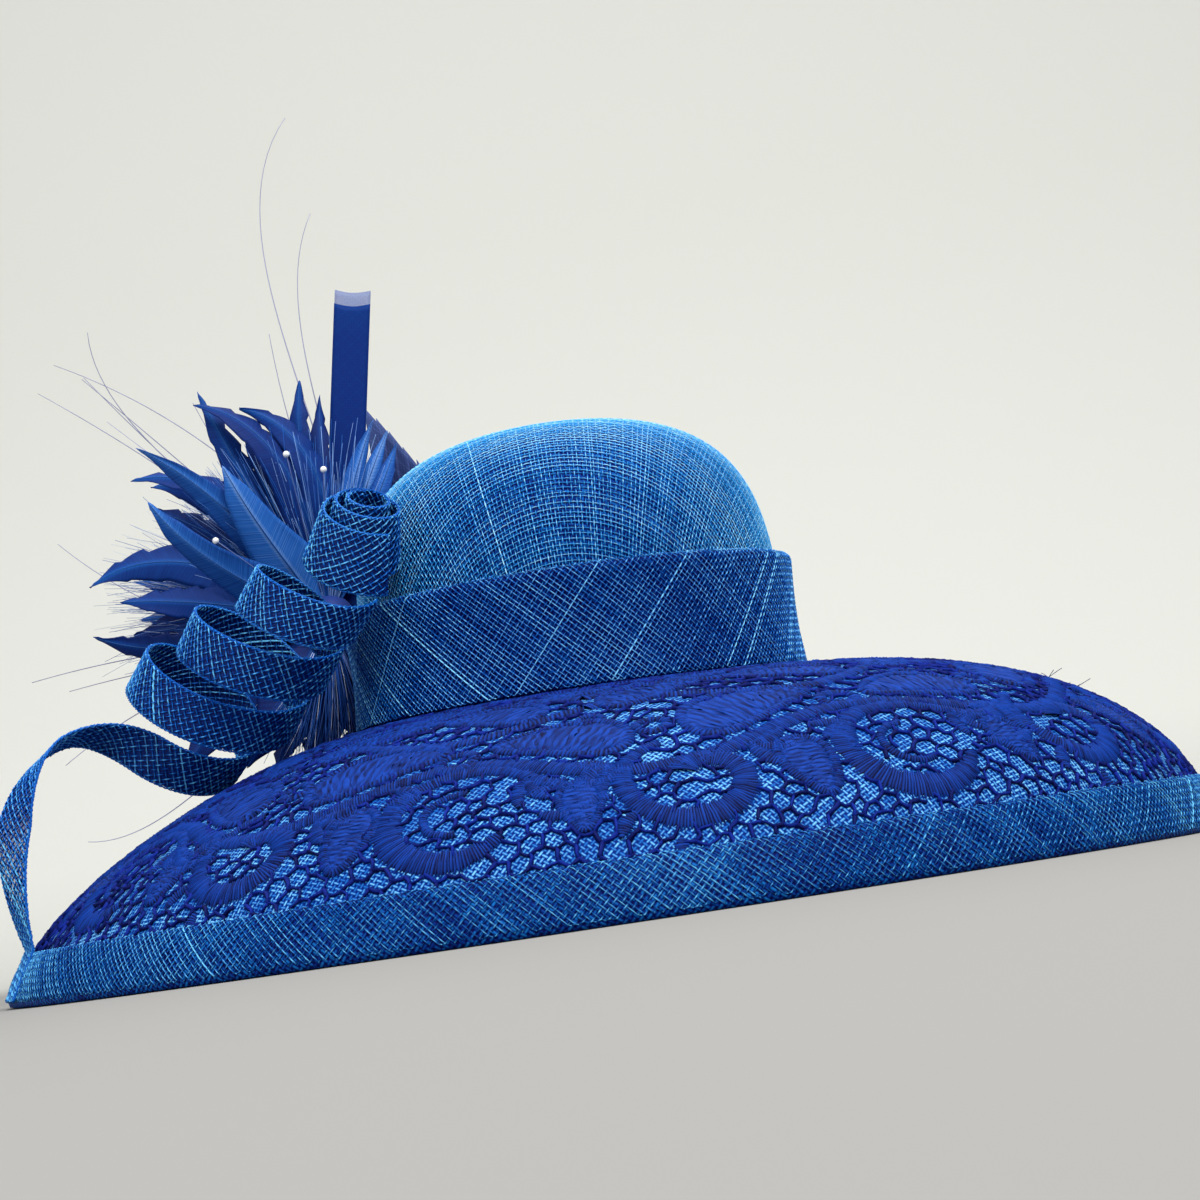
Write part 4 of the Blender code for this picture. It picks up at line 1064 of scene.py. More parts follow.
class HAT_OT_band(bpy.types.Operator):
    """Folded bias band round the crown's foot, threads crossing at a slant over a dark under-layer"""

    bl_idname = "hat.band"
    bl_label = "Crown band"

    def execute(self, context):
        radius = (BAND_HIGH[0] + BAND_HIGH[1]) / 2
        full = BAND.lengths.min()
        angle, run = np.meshgrid(np.linspace(0, TAU, 97), np.linspace(0, full, 25), indexing="ij")
        places, _ = BAND.at(angle, run, -0.0004)
        ground = Shape()
        ground.grid(places, uv=np.stack([angle * radius, run], axis=2), flip=True)
        # Painted shade: this under-layer is darker than the threads above it, and its first colour, the
        # darkest, fills the gaps of its weave.
        finish = ground_finish(
            "band_under_layer", colour(0, 8, 66), colour(0, 30, 104), colour(10, 74, 156), 0.0018,
            math.radians(38), 0.36,
        )
        put(ground, "band_shell", finish, "crown_band", wall=BAND_WALL, seam=True)
        threads = Shape()
        weave(
            threads, around(BAND, radius), (0.0, TAU * radius), (0.006, full), sizes().band_pitch,
            math.radians(42), sizes().thread_radius * 0.85, 5,
        )
        finish = thread_finish("band_thread", colour(0, 24, 92), colour(14, 98, 190), colour(126, 206, 252))
        put(threads, "band_threads", finish, "crown_band")
        return {"FINISHED"}


class HAT_OT_binding(bpy.types.Operator):
    """Bias binding folded over the rim, its threads crossing in diamonds"""

    bl_idname = "hat.binding"
    bl_label = "Rim binding"

    def execute(self, context):
        radius = (BINDING_HIGH[0] + BINDING_HIGH[1]) / 2
        full = BINDING.lengths.min()
        angle, run = np.meshgrid(np.linspace(0, TAU, 121), np.linspace(0, full, 31), indexing="ij")
        places, _ = BINDING.at(angle, run)
        ground = Shape()
        ground.grid(places, uv=np.stack([angle * radius, run], axis=2), flip=True)
        # Painted shade: this under-layer is darker than the threads above it, and its first colour, the
        # darkest, fills the gaps of its weave.
        finish = ground_finish(
            "binding_under_layer", colour(0, 14, 70), colour(0, 44, 118), colour(24, 104, 178), 0.0021,
            math.radians(51), 0.34,
        )
        wall = BINDING_WALL
        put(ground, "binding_shell", finish, "rim_binding", wall=wall, seam=True)
        threads = Shape()
        weave(
            threads, around(BINDING, radius), (0.0, TAU * radius), (0.0, BINDING_WIDTH + 0.0015),
            sizes().binding_pitch, math.radians(45), sizes().thread_radius * 0.9, 9,
        )
        finish = thread_finish("binding_thread", colour(0, 26, 88), colour(12, 88, 166), colour(104, 192, 240))
        put(threads, "binding_threads", finish, "rim_binding")
        return {"FINISHED"}


class Ribbon:
    """A ribbon along a line of centres, as wide as its rulings point: places for metres along and across."""

    def __init__(self, centres, rulings):
        self.centres = np.array(centres, float)
        self.rulings = unit(rulings)
        steps = np.linalg.norm(np.diff(self.centres, axis=0), axis=1)
        self.marks = np.concatenate([[0], np.cumsum(steps)])
        self.length = self.marks[-1]

    def at(self, along, across):
        """Place and normal: the centre moved along the ruling."""
        centre, ahead, behind = (mixed(along + step, self.marks, self.centres) for step in (0, 0.002, -0.002))
        ruling = unit(mixed(along, self.marks, self.rulings))
        normal = unit(np.cross(unit(ahead - behind), ruling))
        return centre + ruling * across[..., None], normal


def seat_shift(places, node, sides):
    """Move that brings a shape's box to a CAD node's: -1 meets its low face, 1 its high face, 0 its middle."""
    low, high = box_of(node)
    mine_low, mine_high = places.reshape(-1, 3).min(axis=0), places.reshape(-1, 3).max(axis=0)
    share = (np.array(sides) + 1) / 2
    return low + (high - low) * share - (mine_low + (mine_high - mine_low) * share)


def ribbon_cloth(name, ribbon, width, node, seed, thin=None):
    """A mesh ribbon: two layers of slanted threads round a finer see-through core, with twisted edges."""
    threads, core = Shape(), Shape()
    half = width / 2
    for layer, side in enumerate((1, -1)):

        def surface(u, v, side=side):
            place, normal = ribbon.at(u, v)
            return place, normal * side

        weave(
            threads, surface, (0.0, ribbon.length), (-half, half), sizes().ribbon_pitch,
            math.radians(36 + 18 * layer), sizes().thread_radius * 1.15, seed + layer, lift=0.0001,
        )
    count = int(ribbon.length / 0.0011)
    along = np.linspace(0, ribbon.length, count)
    for edge in (-half, half):
        for strand in (0, 1):
            wave = np.sin(along / 0.0042 * TAU + strand * math.pi)
            place, normal = ribbon.at(along, edge + 0.00035 * wave)
            place = place + normal * (0.00035 * np.cos(along / 0.0042 * TAU + strand * math.pi))[:, None]
            tubes(threads, place[None], normal[None], 0.00036, 0.5)
    u, v = grid_of((0, ribbon.length), (-half * 0.96, half * 0.96), count // 2, 9)
    places, _ = ribbon.at(u, v)
    fade = 1.0 if thin is None else np.interp(u, thin[0], thin[1])
    core.grid(places, tone=fade, uv=np.stack([u, v], axis=2))
    finish = thread_finish(name + "_thread", colour(0, 26, 96), colour(12, 92, 186), colour(108, 200, 250))
    put(threads, name + "_threads", finish, node)
    s = Shader(name + "_core")
    a, b = s.cloth()
    height, shade = s.plain_weave(a * 0.8 - b * 0.6, a * 0.6 + b * 0.8, 0.0011, 0.36)
    # Painted shade: the tone falls with the weave's height, so the gaps between the fine threads take the
    # darkest colour.
    tone = (height * (0.5 + shade * 0.5)).clamped()
    s.set(Base_Color=s.ramp(tone, ((0.1, colour(0, 12, 74)), (0.9, colour(6, 62, 146)))), Roughness=0.6)
    s.set(Specular_IOR_Level=0.2, Alpha=(height.above(0.3) * 0.30 + s.tone()).clamped())
    s.bump(height, 0.5, 0.0003)
    put(core, name + "_under_layer", s.material, node)


# Rose: turns, radii, width, leans and slip as the CAD solid has them
ROSE_TURNS, ROSE_CORE, ROSE_RADIUS, ROSE_WIDTH = 2.6, 0.0060, 0.0200, 0.0250
ROSE_LEAN_FRONT, ROSE_LEAN_SIDE, ROSE_FIRST = math.radians(32), math.radians(18), math.radians(100)
ROSE_FLARE, ROSE_SLIP = 0.22, 0.32


class HAT_OT_rose(bpy.types.Operator):
    """Ribbon rose: a strip rolled outwards, each wrap a little lower and wider than the last"""

    bl_idname = "hat.rose"
    bl_label = "Ribbon rose"

    def execute(self, context):
        up = unit((math.sin(ROSE_LEAN_SIDE), -math.sin(ROSE_LEAN_FRONT), math.cos(ROSE_LEAN_FRONT)))
        side = unit(np.cross((0, 1, 0), up))
        deep = np.cross(up, side)
        share = np.linspace(0, 1, 150)[:, None]
        angle = ROSE_FIRST + share * ROSE_TURNS * TAU
        out = side * np.cos(angle) + deep * np.sin(angle)
        slip = up * ROSE_SLIP * ROSE_WIDTH * share**2
        centres = out * (ROSE_CORE + (ROSE_RADIUS - ROSE_CORE) * share) - slip
        rulings = unit(up - out * ROSE_FLARE * share)
        edges = np.concatenate([centres - rulings * ROSE_WIDTH / 2, centres + rulings * ROSE_WIDTH / 2])
        ribbon = Ribbon(centres + seat_shift(edges, "ribbon_rose", (0, 0, 0)), rulings)
        ribbon_cloth("rose", ribbon, ROSE_WIDTH - 0.0006, "ribbon_rose", 21)
        return {"FINISHED"}


# Corkscrew from the tail to the rose: turns made, share of the radius, tilt in degrees of its wide axis
CURL_TURNS = np.array((
    (0.00, 0.80, 50.0),
    (0.25, 0.84, 48.0),
    (1.25, 1.00, 37.0),
    (2.25, 0.84, 35.0),
    (3.25, 0.66, 40.0),
    (3.50, 0.62, 40.0),
))
CURL_RADIUS, CURL_PITCH, CURL_SPLAY, RIBBON_WIDTH = 0.0330, 0.0335, math.radians(22), 0.0200
CURL_AXIS = unit((0.68, -0.62, 0.40))
TAIL_LIFT, TAIL_DROP, TAIL_PLACE, TAIL_END = 0.0500, 0.0620, 0.55, 0.0030
TAIL_ARRIVAL = unit((-0.20, 0.0, 1.0))
# Twist of the tail: share of the way, direction of the ribbon's width
TAIL_TWIST = ((0.30, 0.20, -0.95, 0.20), (0.70, 0.80, -0.60, 0.00))


def corkscrew(turn):
    """Centres and rulings of the curl at numbers of turns: circles whose tilt changes as it climbs."""
    radius = (CURL_RADIUS * np.interp(turn, CURL_TURNS[:, 0], CURL_TURNS[:, 1]))[:, None]
    tilt = np.radians(np.interp(turn, CURL_TURNS[:, 0], CURL_TURNS[:, 2]))
    zero = np.zeros_like(tilt)
    wide = np.stack([np.cos(tilt), zero, -np.sin(tilt)], axis=1)
    cos, sin = math.cos(CURL_SPLAY), math.sin(CURL_SPLAY)
    ruling = np.stack([cos * np.sin(tilt), zero - sin, cos * np.cos(tilt)], axis=1)
    deep = np.cross(ruling, wide)
    middle = CURL_AXIS * CURL_PITCH * (turn - CURL_TURNS[-2, 0])[:, None]
    angle = (TAU * turn)[:, None]
    return middle - radius * (wide * np.cos(angle) + deep * np.sin(angle)), ruling


class HAT_OT_curl(bpy.types.Operator):
    """Curled ribbon: a corkscrew beside the band whose tail arches down to the rim"""

    bl_idname = "hat.curl"
    bl_label = "Curled ribbon"

    def execute(self, context):
        turns = np.linspace(CURL_TURNS[-1, 0], CURL_TURNS[1, 0], 170)
        centres, rulings = corkscrew(turns)
        edges = np.concatenate([centres - rulings * RIBBON_WIDTH / 2, centres + rulings * RIBBON_WIDTH / 2])
        centres = centres + seat_shift(edges, "curled_ribbon", (1, -1, 1)) + np.array([0.0, 0.0006, -0.0006])
        angle = TAIL_PLACE * TAU
        full = BRIM.length(angle)
        lift = BINDING_LIFT + 0.0014
        seat, _ = BRIM.at(np.array([angle]), np.array([full - BINDING_WIDTH]), lift)
        foot, _ = BRIM.at(np.array([angle]), np.array([full]), lift)
        foot[0, 2] = TAIL_END
        ahead, _ = BRIM.at(np.array([angle + 0.01]), np.array([full]), lift)
        along_rim = unit(ahead[0] - foot[0]) * np.array([1, 1, 0])
        start, leave = centres[-1], unit(centres[-1] - centres[-2])
        arrive = seat[0] + TAIL_ARRIVAL * TAIL_DROP
        share = np.linspace(0, 1, 60)[1:, None]
        rest = 1 - share
        route = (
            rest**3 * start + 3 * rest**2 * share * (start + leave * TAIL_LIFT)
            + 3 * rest * share**2 * arrive + share**3 * seat[0]
        )
        twist = np.array([(0.0, *rulings[-1]), *TAIL_TWIST, (1.0, *along_rim)])
        turned = mixed(share[:, 0], twist[:, 0], twist[:, 1:])
        line = np.concatenate([centres, route, foot])
        ruled = np.concatenate([rulings, turned, [along_rim]])
        ribbon = Ribbon(line, ruled)
        coil = ribbon.marks[len(centres) - 1]
        thin = ([coil + 0.05, coil + 0.11], [1.0, 0.15])
        ribbon_cloth("curl", ribbon, RIBBON_WIDTH - 0.0006, "curled_ribbon", 31, thin)
        return {"FINISHED"}


PETAL_LENGTH, PETAL_WIDTH, HEAD_RADIUS = 0.1130, 0.0290, 0.0130
LOCK_LENGTH, LOCK_WIDTH = 0.1000, 0.0200
PETAL_OUTLINE = np.array(((0.0, 0.16), (0.30, 0.86), (0.54, 1.0), (0.78, 0.58), (0.92, 0.17), (1.0, 0.0)))
PETAL_ROOT = 0.7
# Petals: degrees anticlockwise from the wearer's left, lean to the front in degrees, share of the length,
# share of the width, sideways sweep, curl over the face and twist in degrees
PETALS = (
    (113, 10, 1.00, 0.74, -4, 14, 10),
    (92, 15, 1.04, 0.84, 72, 22, 24),
    (115, 19, 0.98, 0.80, 72, 18, 20),
    (122, 26, 1.00, 0.72, 26, 16, -16),
    (116, 9, 0.88, 1.00, 64, 10, 14),
    (148, 30, 0.84, 0.80, -28, 14, -20),
    (145, 12, 0.96, 0.94, 64, 16, 18),
    (186, 7, 0.90, 0.78, -33, 12, -14),
    (182, 2, 0.72, 0.86, -10, 18, 12),
    (93, 5, 0.92, 0.70, -13, 12, -18),
    (80, 12, 0.95, 0.80, 82, 14, 22),
    (86, 0, 0.86, 0.62, -4, 10, 12),
    (73, 7, 0.76, 0.56, -12, 12, 14),
    (67, 1, 0.74, 0.50, -6, 10, -12),
    (60, 4, 0.70, 0.50, 4, 12, 10),
    (104, 1, 0.86, 0.66, 6, 10, -12),
    (119, 30, 0.72, 1.00, -10, 12, 6),
    (134, 3, 0.80, 0.90, 20, 12, 10),
    (165, 20, 0.78, 0.86, 10, 14, 10),
)
# Petals of the softer, paler inner hackle
PALE_PETALS = (3, 5, 12, 13, 14, 16)
# Hackle locks behind the petals, in the same columns
LOCKS = (
    (157, -6, 1.00, 1.0, 8, 6, 0),
    (168, -4, 0.94, 1.0, 8, 6, 0),
    (189, -3, 0.88, 1.0, 8, 6, 0),
    (204, -2, 0.70, 0.9, 8, 6, 0),
    (232, 3, 0.56, 0.7, 8, 6, 0),
    (128, -6, 0.86, 1.0, 8, 6, 0),
    (98, -6, 0.80, 1.0, 8, 6, 0),
)
# Short dark petals behind the curl, in the same columns
UNDER_PETALS = (
    (206, -4, 0.66, 1.0, 10, 6, 8),
    (222, -1, 0.60, 1.0, -8, 6, -8),
    (240, 3, 0.56, 1.1, 8, 6, 8),
    (258, 2, 0.55, 1.1, -6, 6, -8),
    (276, 1, 0.50, 1.1, 8, 6, 8),
    (232, 12, 0.62, 1.0, 6, 4, -8),
    (214, 8, 0.80, 0.9, 14, 8, 8),
    (294, 0, 0.42, 1.0, -8, 6, -8),
    (172, -2, 0.74, 1.0, 12, 6, 10),
    (196, -1, 0.70, 1.0, -12, 6, -10),
)


def aim(turn, lean):
    """Directions at angles anticlockwise in the front view, leaning to the front, from degrees."""
    turn, lean = np.radians(turn), np.radians(lean)
    return np.stack([np.cos(turn) * np.cos(lean), -np.sin(lean), np.sin(turn) * np.cos(lean)], axis=-1)


def feather_line(root, row, length, stations):
    """Middle line of a feather: the direction turns by sweep and curl times the square of the share gone."""
    turn, lean, reach, _, sweep, curl, _ = row
    share = np.linspace(0, 1, stations)
    middle = (share[1:] + share[:-1]) / 2
    step = aim(turn + sweep * middle**2, lean - curl * middle**2) * (length * reach / (stations - 1))
    line = np.concatenate([[root], root + np.cumsum(step, axis=0)])
    along = aim(turn + sweep * share**2, lean - curl * share**2)
    return share, line, along


def feather_frame(along, twist):
    """Sideways and face directions of a feather, turned about its line by the twist in degrees."""
    facing = unit(np.array([0, -1, 0]) + along * along[:, 1:2])
    across = unit(np.cross(along, facing))
    angle = math.radians(twist)
    across = across * math.cos(angle) + np.cross(along, across) * math.sin(angle)
    return across, np.cross(across, along)


def petal(shape, shafts, root, row, length, width, rng, notches, tone):
    """One trimmed feather: a vane folded along its shaft, waved, its edges cut in notches near the tip."""
    share, line, along = feather_line(root, row, length, 44)
    across, face = feather_frame(along, row[6])
    wide = np.interp(share, PETAL_OUTLINE[:, 0], PETAL_OUTLINE[:, 1])
    wide = np.convolve(np.pad(wide, 3, mode="edge"), np.ones(7) / 7, mode="valid")
    wide = np.minimum(wide, 1.05 * np.sqrt(np.maximum(1 - share, 0)))
    half = width * row[3] * wide / 2
    side = np.linspace(-1, 1, 11)
    trim = np.ones((len(share), len(side)))
    for sign in (-1, 1):
        teeth = np.mod(share * notches * (1 if sign > 0 else 0.7) + rng.uniform(), 1.0)
        depth = np.interp(share, [0.35, 0.6, 1.0], [0, 0.30, 0.42]) * (1.0 if sign > 0 else 0.45)
        edge = 1 - depth * teeth**1.5
        mask = side * sign > 0
        trim[:, mask] = edge[:, None]
    flat = half[:, None] * side * trim
    fold = 0.24 * half[:, None] * (1 - abs(side))
    wave = 0.0010 * np.sin(share[:, None] * 9 + rng.uniform(0, TAU)) * side**2 * np.sign(side)
    places = line[:, None] + across[:, None] * flat[..., None] + face[:, None] * (fold + wave)[..., None]
    edge_tone = tone - 0.10 * abs(side)[None] ** 4 - 0.08 * share[:, None] + 0 * flat
    uv = np.stack([flat / 0.03, share[:, None] * row[2] + 0 * flat], axis=2)
    shape.grid(places, tone=edge_tone, uv=uv)
    rise = face * (0.24 * half + 0.0002)[:, None]
    thick = np.interp(share, [0, 1], [0.0006, 0.00012])
    tubes(shafts, (line + rise)[None], face[None], thick[None], tone + 0.25)


def strands(shape, roots, rows, rng, length, radius, tone, wisp=14):
    """Loose barbs: thin tubes that leave a root in a fan and bend a little, each with a droop of its own."""
    count = len(rows)
    share = np.linspace(0, 1, 7)[None, :, None]
    turn = rows[:, 0:1] + rows[:, 2:3] * share[..., 0] ** 2
    lean = rows[:, 1:2] + rng.normal(0, wisp, (count, 1)) * share[..., 0] ** 2
    step = aim(turn, lean) * (length * rows[:, 3] / 6)[:, None, None]
    line = roots[:, None] + np.cumsum(np.concatenate([0 * step[:, :1], step[:, :-1]], axis=1), axis=1)
    normal = np.broadcast_to(np.array([0.1, -1.0, 0.2]), line.shape)
    taper = radius * np.linspace(1.0, 0.25, 7)[None]
    tubes(shape, line, normal, taper * rng.uniform(0.7, 1.2, (count, 1)), tone)


class HAT_OT_flower(bpy.types.Operator):
    """Feather flower: trimmed petals round a head, paler hackle between them, and fluff behind"""

    bl_idname = "hat.flower"
    bl_label = "Feather flower"

    def execute(self, context):
        rng = np.random.default_rng(17)
        depth = HEAD_RADIUS * PETAL_ROOT
        lines = []
        for row in PETALS:
            lines.append(feather_line(aim(row[0], row[1]) * depth, row, PETAL_LENGTH - depth, 20)[1])
        shift = seat_shift(np.concatenate(lines), "feather_flower", (-1, 0, 1))
        centre = shift + np.array([0.0006, 0, -0.0006])
        vanes, pale, shafts = Shape(), Shape(), Shape()
        for number, row in enumerate(PETALS):
            root = centre + aim(row[0], row[1]) * depth
            target = pale if number in PALE_PETALS else vanes
            petal(target, shafts, root, row, PETAL_LENGTH - depth, PETAL_WIDTH, rng,
                  0.1 if target is pale else 9.0, 0.45 + rng.uniform(-0.10, 0.10))
        for row in UNDER_PETALS:
            root = centre + aim(row[0], row[1]) * depth + np.array([0, 0.004, 0])
            petal(vanes, shafts, root, row, PETAL_LENGTH - depth, PETAL_WIDTH, rng, 5.0, 0.30)
        for row in LOCKS:
            root = centre + np.array([0, HEAD_RADIUS * 0.5, 0])
            petal(pale, shafts, root, row, LOCK_LENGTH * 0.9, LOCK_WIDTH * 1.2, rng, 7.0, 0.25)
        finish = feather_finish("petal", colour(0, 22, 78), colour(0, 52, 122), colours().feather)
        put(vanes, "petal_vanes", finish, "feather_flower", wall=VANE_WALL, side=0)
        finish = feather_finish("hackle", colour(0, 48, 124), colour(44, 104, 186), colour(140, 180, 230), 1.3)
        put(pale, "hackle_vanes", finish, "feather_flower", wall=0.0002, side=0)
        finish = plain_finish("shaft", colour(24, 84, 160), 0.5)
        put(shafts, "feather_shafts", finish, "feather_flower")
        fluff, hackle = Shape(), Shape()
        behind = centre + np.array([0, HEAD_RADIUS * 0.5, 0])
        for turn, lean, reach, breadth, sweep, curl, _ in LOCKS:
            count = int(110 * breadth)
            rows = np.stack([
                turn + rng.normal(0, 7, count), lean + rng.normal(0, 5, count), rng.normal(sweep, 16, count),
                reach * rng.uniform(0.80, 1.04, count),
            ], axis=1)
            ends = rng.uniform(0.0, 0.45, count) + 0.6 * (rng.random(count) > 0.72)
            strands(fluff, np.tile(behind, (count, 1)), rows, rng, LOCK_LENGTH, 0.00034, ends)
        for turn, count in ((246, 60), (262, 60), (280, 50)):
            rows = np.stack([
                turn + rng.normal(0, 8, count), rng.uniform(4, 26, count), rng.normal(0, 14, count),
                rng.uniform(0.52, 0.66, count),
            ], axis=1)
            pale_ends = rng.uniform(0.0, 0.3, count) + 0.5 * (rng.random(count) > 0.92)
            strands(fluff, np.tile(centre, (count, 1)), rows, rng, 0.105, 0.00040, pale_ends)
        for turn, spread, count, reach in (
            (96, 14, 170, 0.84), (120, 14, 120, 0.84), (150, 16, 60, 0.70), (72, 9, 50, 0.70),
        ):
            rows = np.stack([
                turn + rng.normal(0, spread, count), rng.uniform(2, 24, count), rng.normal(0, 8, count),
                reach * rng.uniform(0.5, 1.0, count),
            ], axis=1)
            hackle_tone = rng.uniform(0.0, 0.75, count)
            strands(hackle, np.tile(centre, (count, 1)), rows, rng, 0.105, 0.00036, hackle_tone, 12)
        finish = feather_finish("fluff", colour(2, 46, 124), colour(34, 92, 180), colour(206, 216, 238), 0.5)
        put(fluff, "feather_fluff", finish, "feather_flower")
        shades = colour(0, 50, 130), colour(28, 92, 176), colour(140, 176, 230)
        finish = feather_finish("hackle_barbs", *shades, 0.6)
        put(hackle, "hackle_barbs", finish, "feather_flower")
        head = ball(centre, HEAD_RADIUS * 0.85, 25, 13, 0.3)
        finish = plain_finish("flower_head", colour(14, 52, 130), 0.7, 0.5)
        put(head, "flower_head", finish, "feather_flower", seam=True)
        return {"FINISHED"}


# Quills: degrees anticlockwise, lean to the front, share of the length, sweep and hook in degrees
QUILLS = np.array((
    (99, -1, 1.00, 6, -62),
    (98, 0, 0.80, 0, -42),
    (112, -1, 0.60, -20, 0),
    (130, -2, 0.56, -20, 0),
    (131, -3, 0.80, 4, -50),
    (112, -6, 0.82, 40, 0),
    (129, 0, 0.77, 14, 0),
    (134, -9, 0.76, -8, 0),
    (129, -7, 0.75, 3, 0),
    (131, -4, 0.65, 4, 0),
    (176, -2, 0.63, -44, 0),
    (168, -3, 0.64, 20, 0),
    (173, -6, 0.58, 14, 0),
    (173, -2, 0.62, 40, 0),
    (205, 0, 0.64, 20, -60),
), float)
QUILL_LENGTH, QUILL_BASE, QUILL_TIP, QUILL_HEAD = 0.2450, 0.00045, 0.00016, 0.0080


class HAT_OT_quills(bpy.types.Operator):
    """Stripped quills that fan out behind the flower and hook over at their tips"""

    bl_idname = "hat.quills"
    bl_label = "Quill spray"

    def execute(self, context):
        turn, lean, reach, sweep, hook = QUILLS.T[:, :, None]
        share = np.linspace(0, 1, 40)[None]
        step = aim(turn + sweep * share + hook * share**5, lean + 0 * share)
        step = step * (QUILL_LENGTH * reach / 39)[..., None]
        line = np.cumsum(np.concatenate([0 * step[:, :1], step[:, :-1]], axis=1), axis=1)
        line = line + seat_shift(line, "quill_spray", (0, 0, 1)) - np.array([0, 0, 0.0004])
        shape = Shape()
        normal = np.broadcast_to(np.array([0.2, -1.0, 0.1]), line.shape)
        radius = np.linspace(QUILL_BASE, QUILL_TIP, 40)[None] + 0 * line[..., 0]
        rng = np.random.default_rng(5)
        tubes(shape, line, normal, radius, rng.uniform(0.2, 0.9, len(line)), sides=5)
        head = ball(line[0, 0], QUILL_HEAD * 0.8, 17, 9, 0.2)
        finish = plain_finish("quill_head", colour(4, 40, 110), 0.8, 0.5)
        put(head, "quill_head", finish, "quill_spray", seam=True)
        s = Shader("quill")
        tone = (s.tone() * 0.6 + s.noise(120.0) * 0.5).clamped()
        stops = ((0.1, colour(70, 78, 120)), (0.9, colour(168, 168, 196)))
        s.set(Base_Color=s.ramp(tone, stops), Roughness=0.38)
        put(shape, "quills", s.material, "quill_spray")
        return {"FINISHED"}


PEARL_RADIUS, PEARL_WIRE = 0.0014, 0.00022


class HAT_OT_pearls(bpy.types.Operator):
    """Pearl beads on fine wires that stand out of the flower"""

    bl_idname = "hat.pearls"
    bl_label = "Pearl stamens"

    def execute(self, context):
        pearl = Shader("pearl")
        cloud = pearl.noise(600.0)
        pearl.set(Base_Color=pearl.ramp(cloud, ((0.3, colour(214, 216, 226)), (0.7, colour(248, 246, 240)))))
        pearl.set(Roughness=0.14, Coat_Weight=0.8, Coat_Roughness=0.05)
        wire = plain_finish("stamen_wire", colour(110, 130, 190), 0.35)
        for number in (1, 2, 3):
            node = f"pearl_stamen_{number}"
            points = np.array([tuple(v.co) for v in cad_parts[node].data.vertices])
            low_z = points[points[:, 2].argmin()]
            high = points[points[:, 1].argmin()] + np.array([0, 0.0015, 0])
            bead = ball(high, PEARL_RADIUS, 25, 15)
            put(bead, f"pearl_{number}", pearl.material, node, seam=True)
            stem = Shape()
            path = low_z + (high - low_z) * np.linspace(0, 1, 8)[:, None]
            tubes(stem, path[None], np.array([0, -1.0, 0.3]) + 0 * path[None], PEARL_WIRE, 0.5, sides=5)
            put(stem, f"pearl_wire_{number}", wire, node)
        return {"FINISHED"}


STRIP_WIDTH, STRIP_LEAN = 0.0157, math.radians(10)
PLEAT_TOPS = (1.00, 0.96, 0.91, 0.85, 0.80, 0.74)
PLEAT_HEIGHT, PLEAT_DEPTH, PLEAT_VALLEY = 0.1190, 0.0070, 0.075
PLEAT_FIRST, PLEAT_LAST = math.radians(139), math.radians(121)


class HAT_OT_sheer(bpy.types.Operator):
    """Sheer ribbon: the tall strip in two layers, and the accordion pleats beside it"""

    bl_idname = "hat.sheer"
    bl_label = "Sheer ribbon"

    def execute(self, context):
        solid_ribbon = sheer_finish("satin_ribbon", colour(8, 56, 124), colour(0, 38, 104), 1.25, 0.006)
        see_through = sheer_finish("sheer_ribbon", colour(120, 134, 180), colour(30, 48, 116), 0.80, 0.005)
        cos, sin = math.cos(STRIP_LEAN), math.sin(STRIP_LEAN)
        along, across = grid_of((0, 1), (-0.5, 0.5), 60, 9)
        bow = 0.00025 * np.sin(along * 7)
        dip = -0.0012 * np.cos(across * math.pi) * along**8
        wide = across * STRIP_WIDTH
        for name, finish, tones in (
            ("upright_ribbon_front", solid_ribbon, (0.1, 0.15, 0.3, 0.45)),
            ("upright_ribbon_back", see_through, (0.2, 0.85, 0.95, 1.0)),
        ):
            low, high = box_of(name)
            length = (high[2] - low[2] - 0.016 * sin) / cos
            foot = np.array([low[0] + 0.008 * cos, (low[1] + high[1]) / 2, low[2] + 0.008 * sin])
            places = foot + np.array([sin, 0, cos]) * (along * length + dip)[..., None]
            places = places + np.array([cos, 0, -sin]) * wide[..., None]
            places = places + np.array([0, 1, 0]) * bow[..., None]
            tone = np.interp(along, [0, 0.9, 0.96, 1.0], tones)
            strip = Shape()
            strip.grid(places, tone=tone, uv=np.stack([wide, along * length], axis=2))
            put(strip, name + "_cloth", finish, name, wall=VANE_WALL, side=0)
        folds = 2 * len(PLEAT_TOPS) - 1
        fold = np.linspace(0, folds - 1, (folds - 1) * 6 + 1)
        angle = PLEAT_FIRST + (PLEAT_LAST - PLEAT_FIRST) * fold / (folds - 1)
        crease = abs(np.mod(fold, 2) - 1)
        off = PLEAT_DEPTH * crease
        tops = np.interp(fold / 2, range(len(PLEAT_TOPS)), PLEAT_TOPS) - PLEAT_VALLEY * (1 - crease)
        x = (BAND_HIGH[0] + off) * np.cos(angle)
        y = (BAND_HIGH[1] + off) * np.sin(angle)
        share = np.linspace(0, 1, 30)[:, None]
        places = np.stack([x + 0 * share, y + 0 * share, PLEAT_HEIGHT * tops * share], axis=2)
        places = places + seat_shift(places, "pleated_ribbon", (0, 0, -1))
        tone = np.interp(share, [0, 0.75, 1.0], [0.0, 0.10, 0.45]) + 0.40 * crease[None] ** 5
        pleats = Shape()
        uv = np.stack([fold * 0.004 + 0 * share, share * PLEAT_HEIGHT + 0 * fold], axis=2)
        pleats.grid(places, tone=tone, uv=uv)
        finish = sheer_finish("pleat_ribbon", colour(84, 104, 160), colour(2, 18, 74), 1.15, 0.007)
        put(pleats, "pleats", finish, "pleated_ribbon", wall=VANE_WALL, side=0)
        return {"FINISHED"}


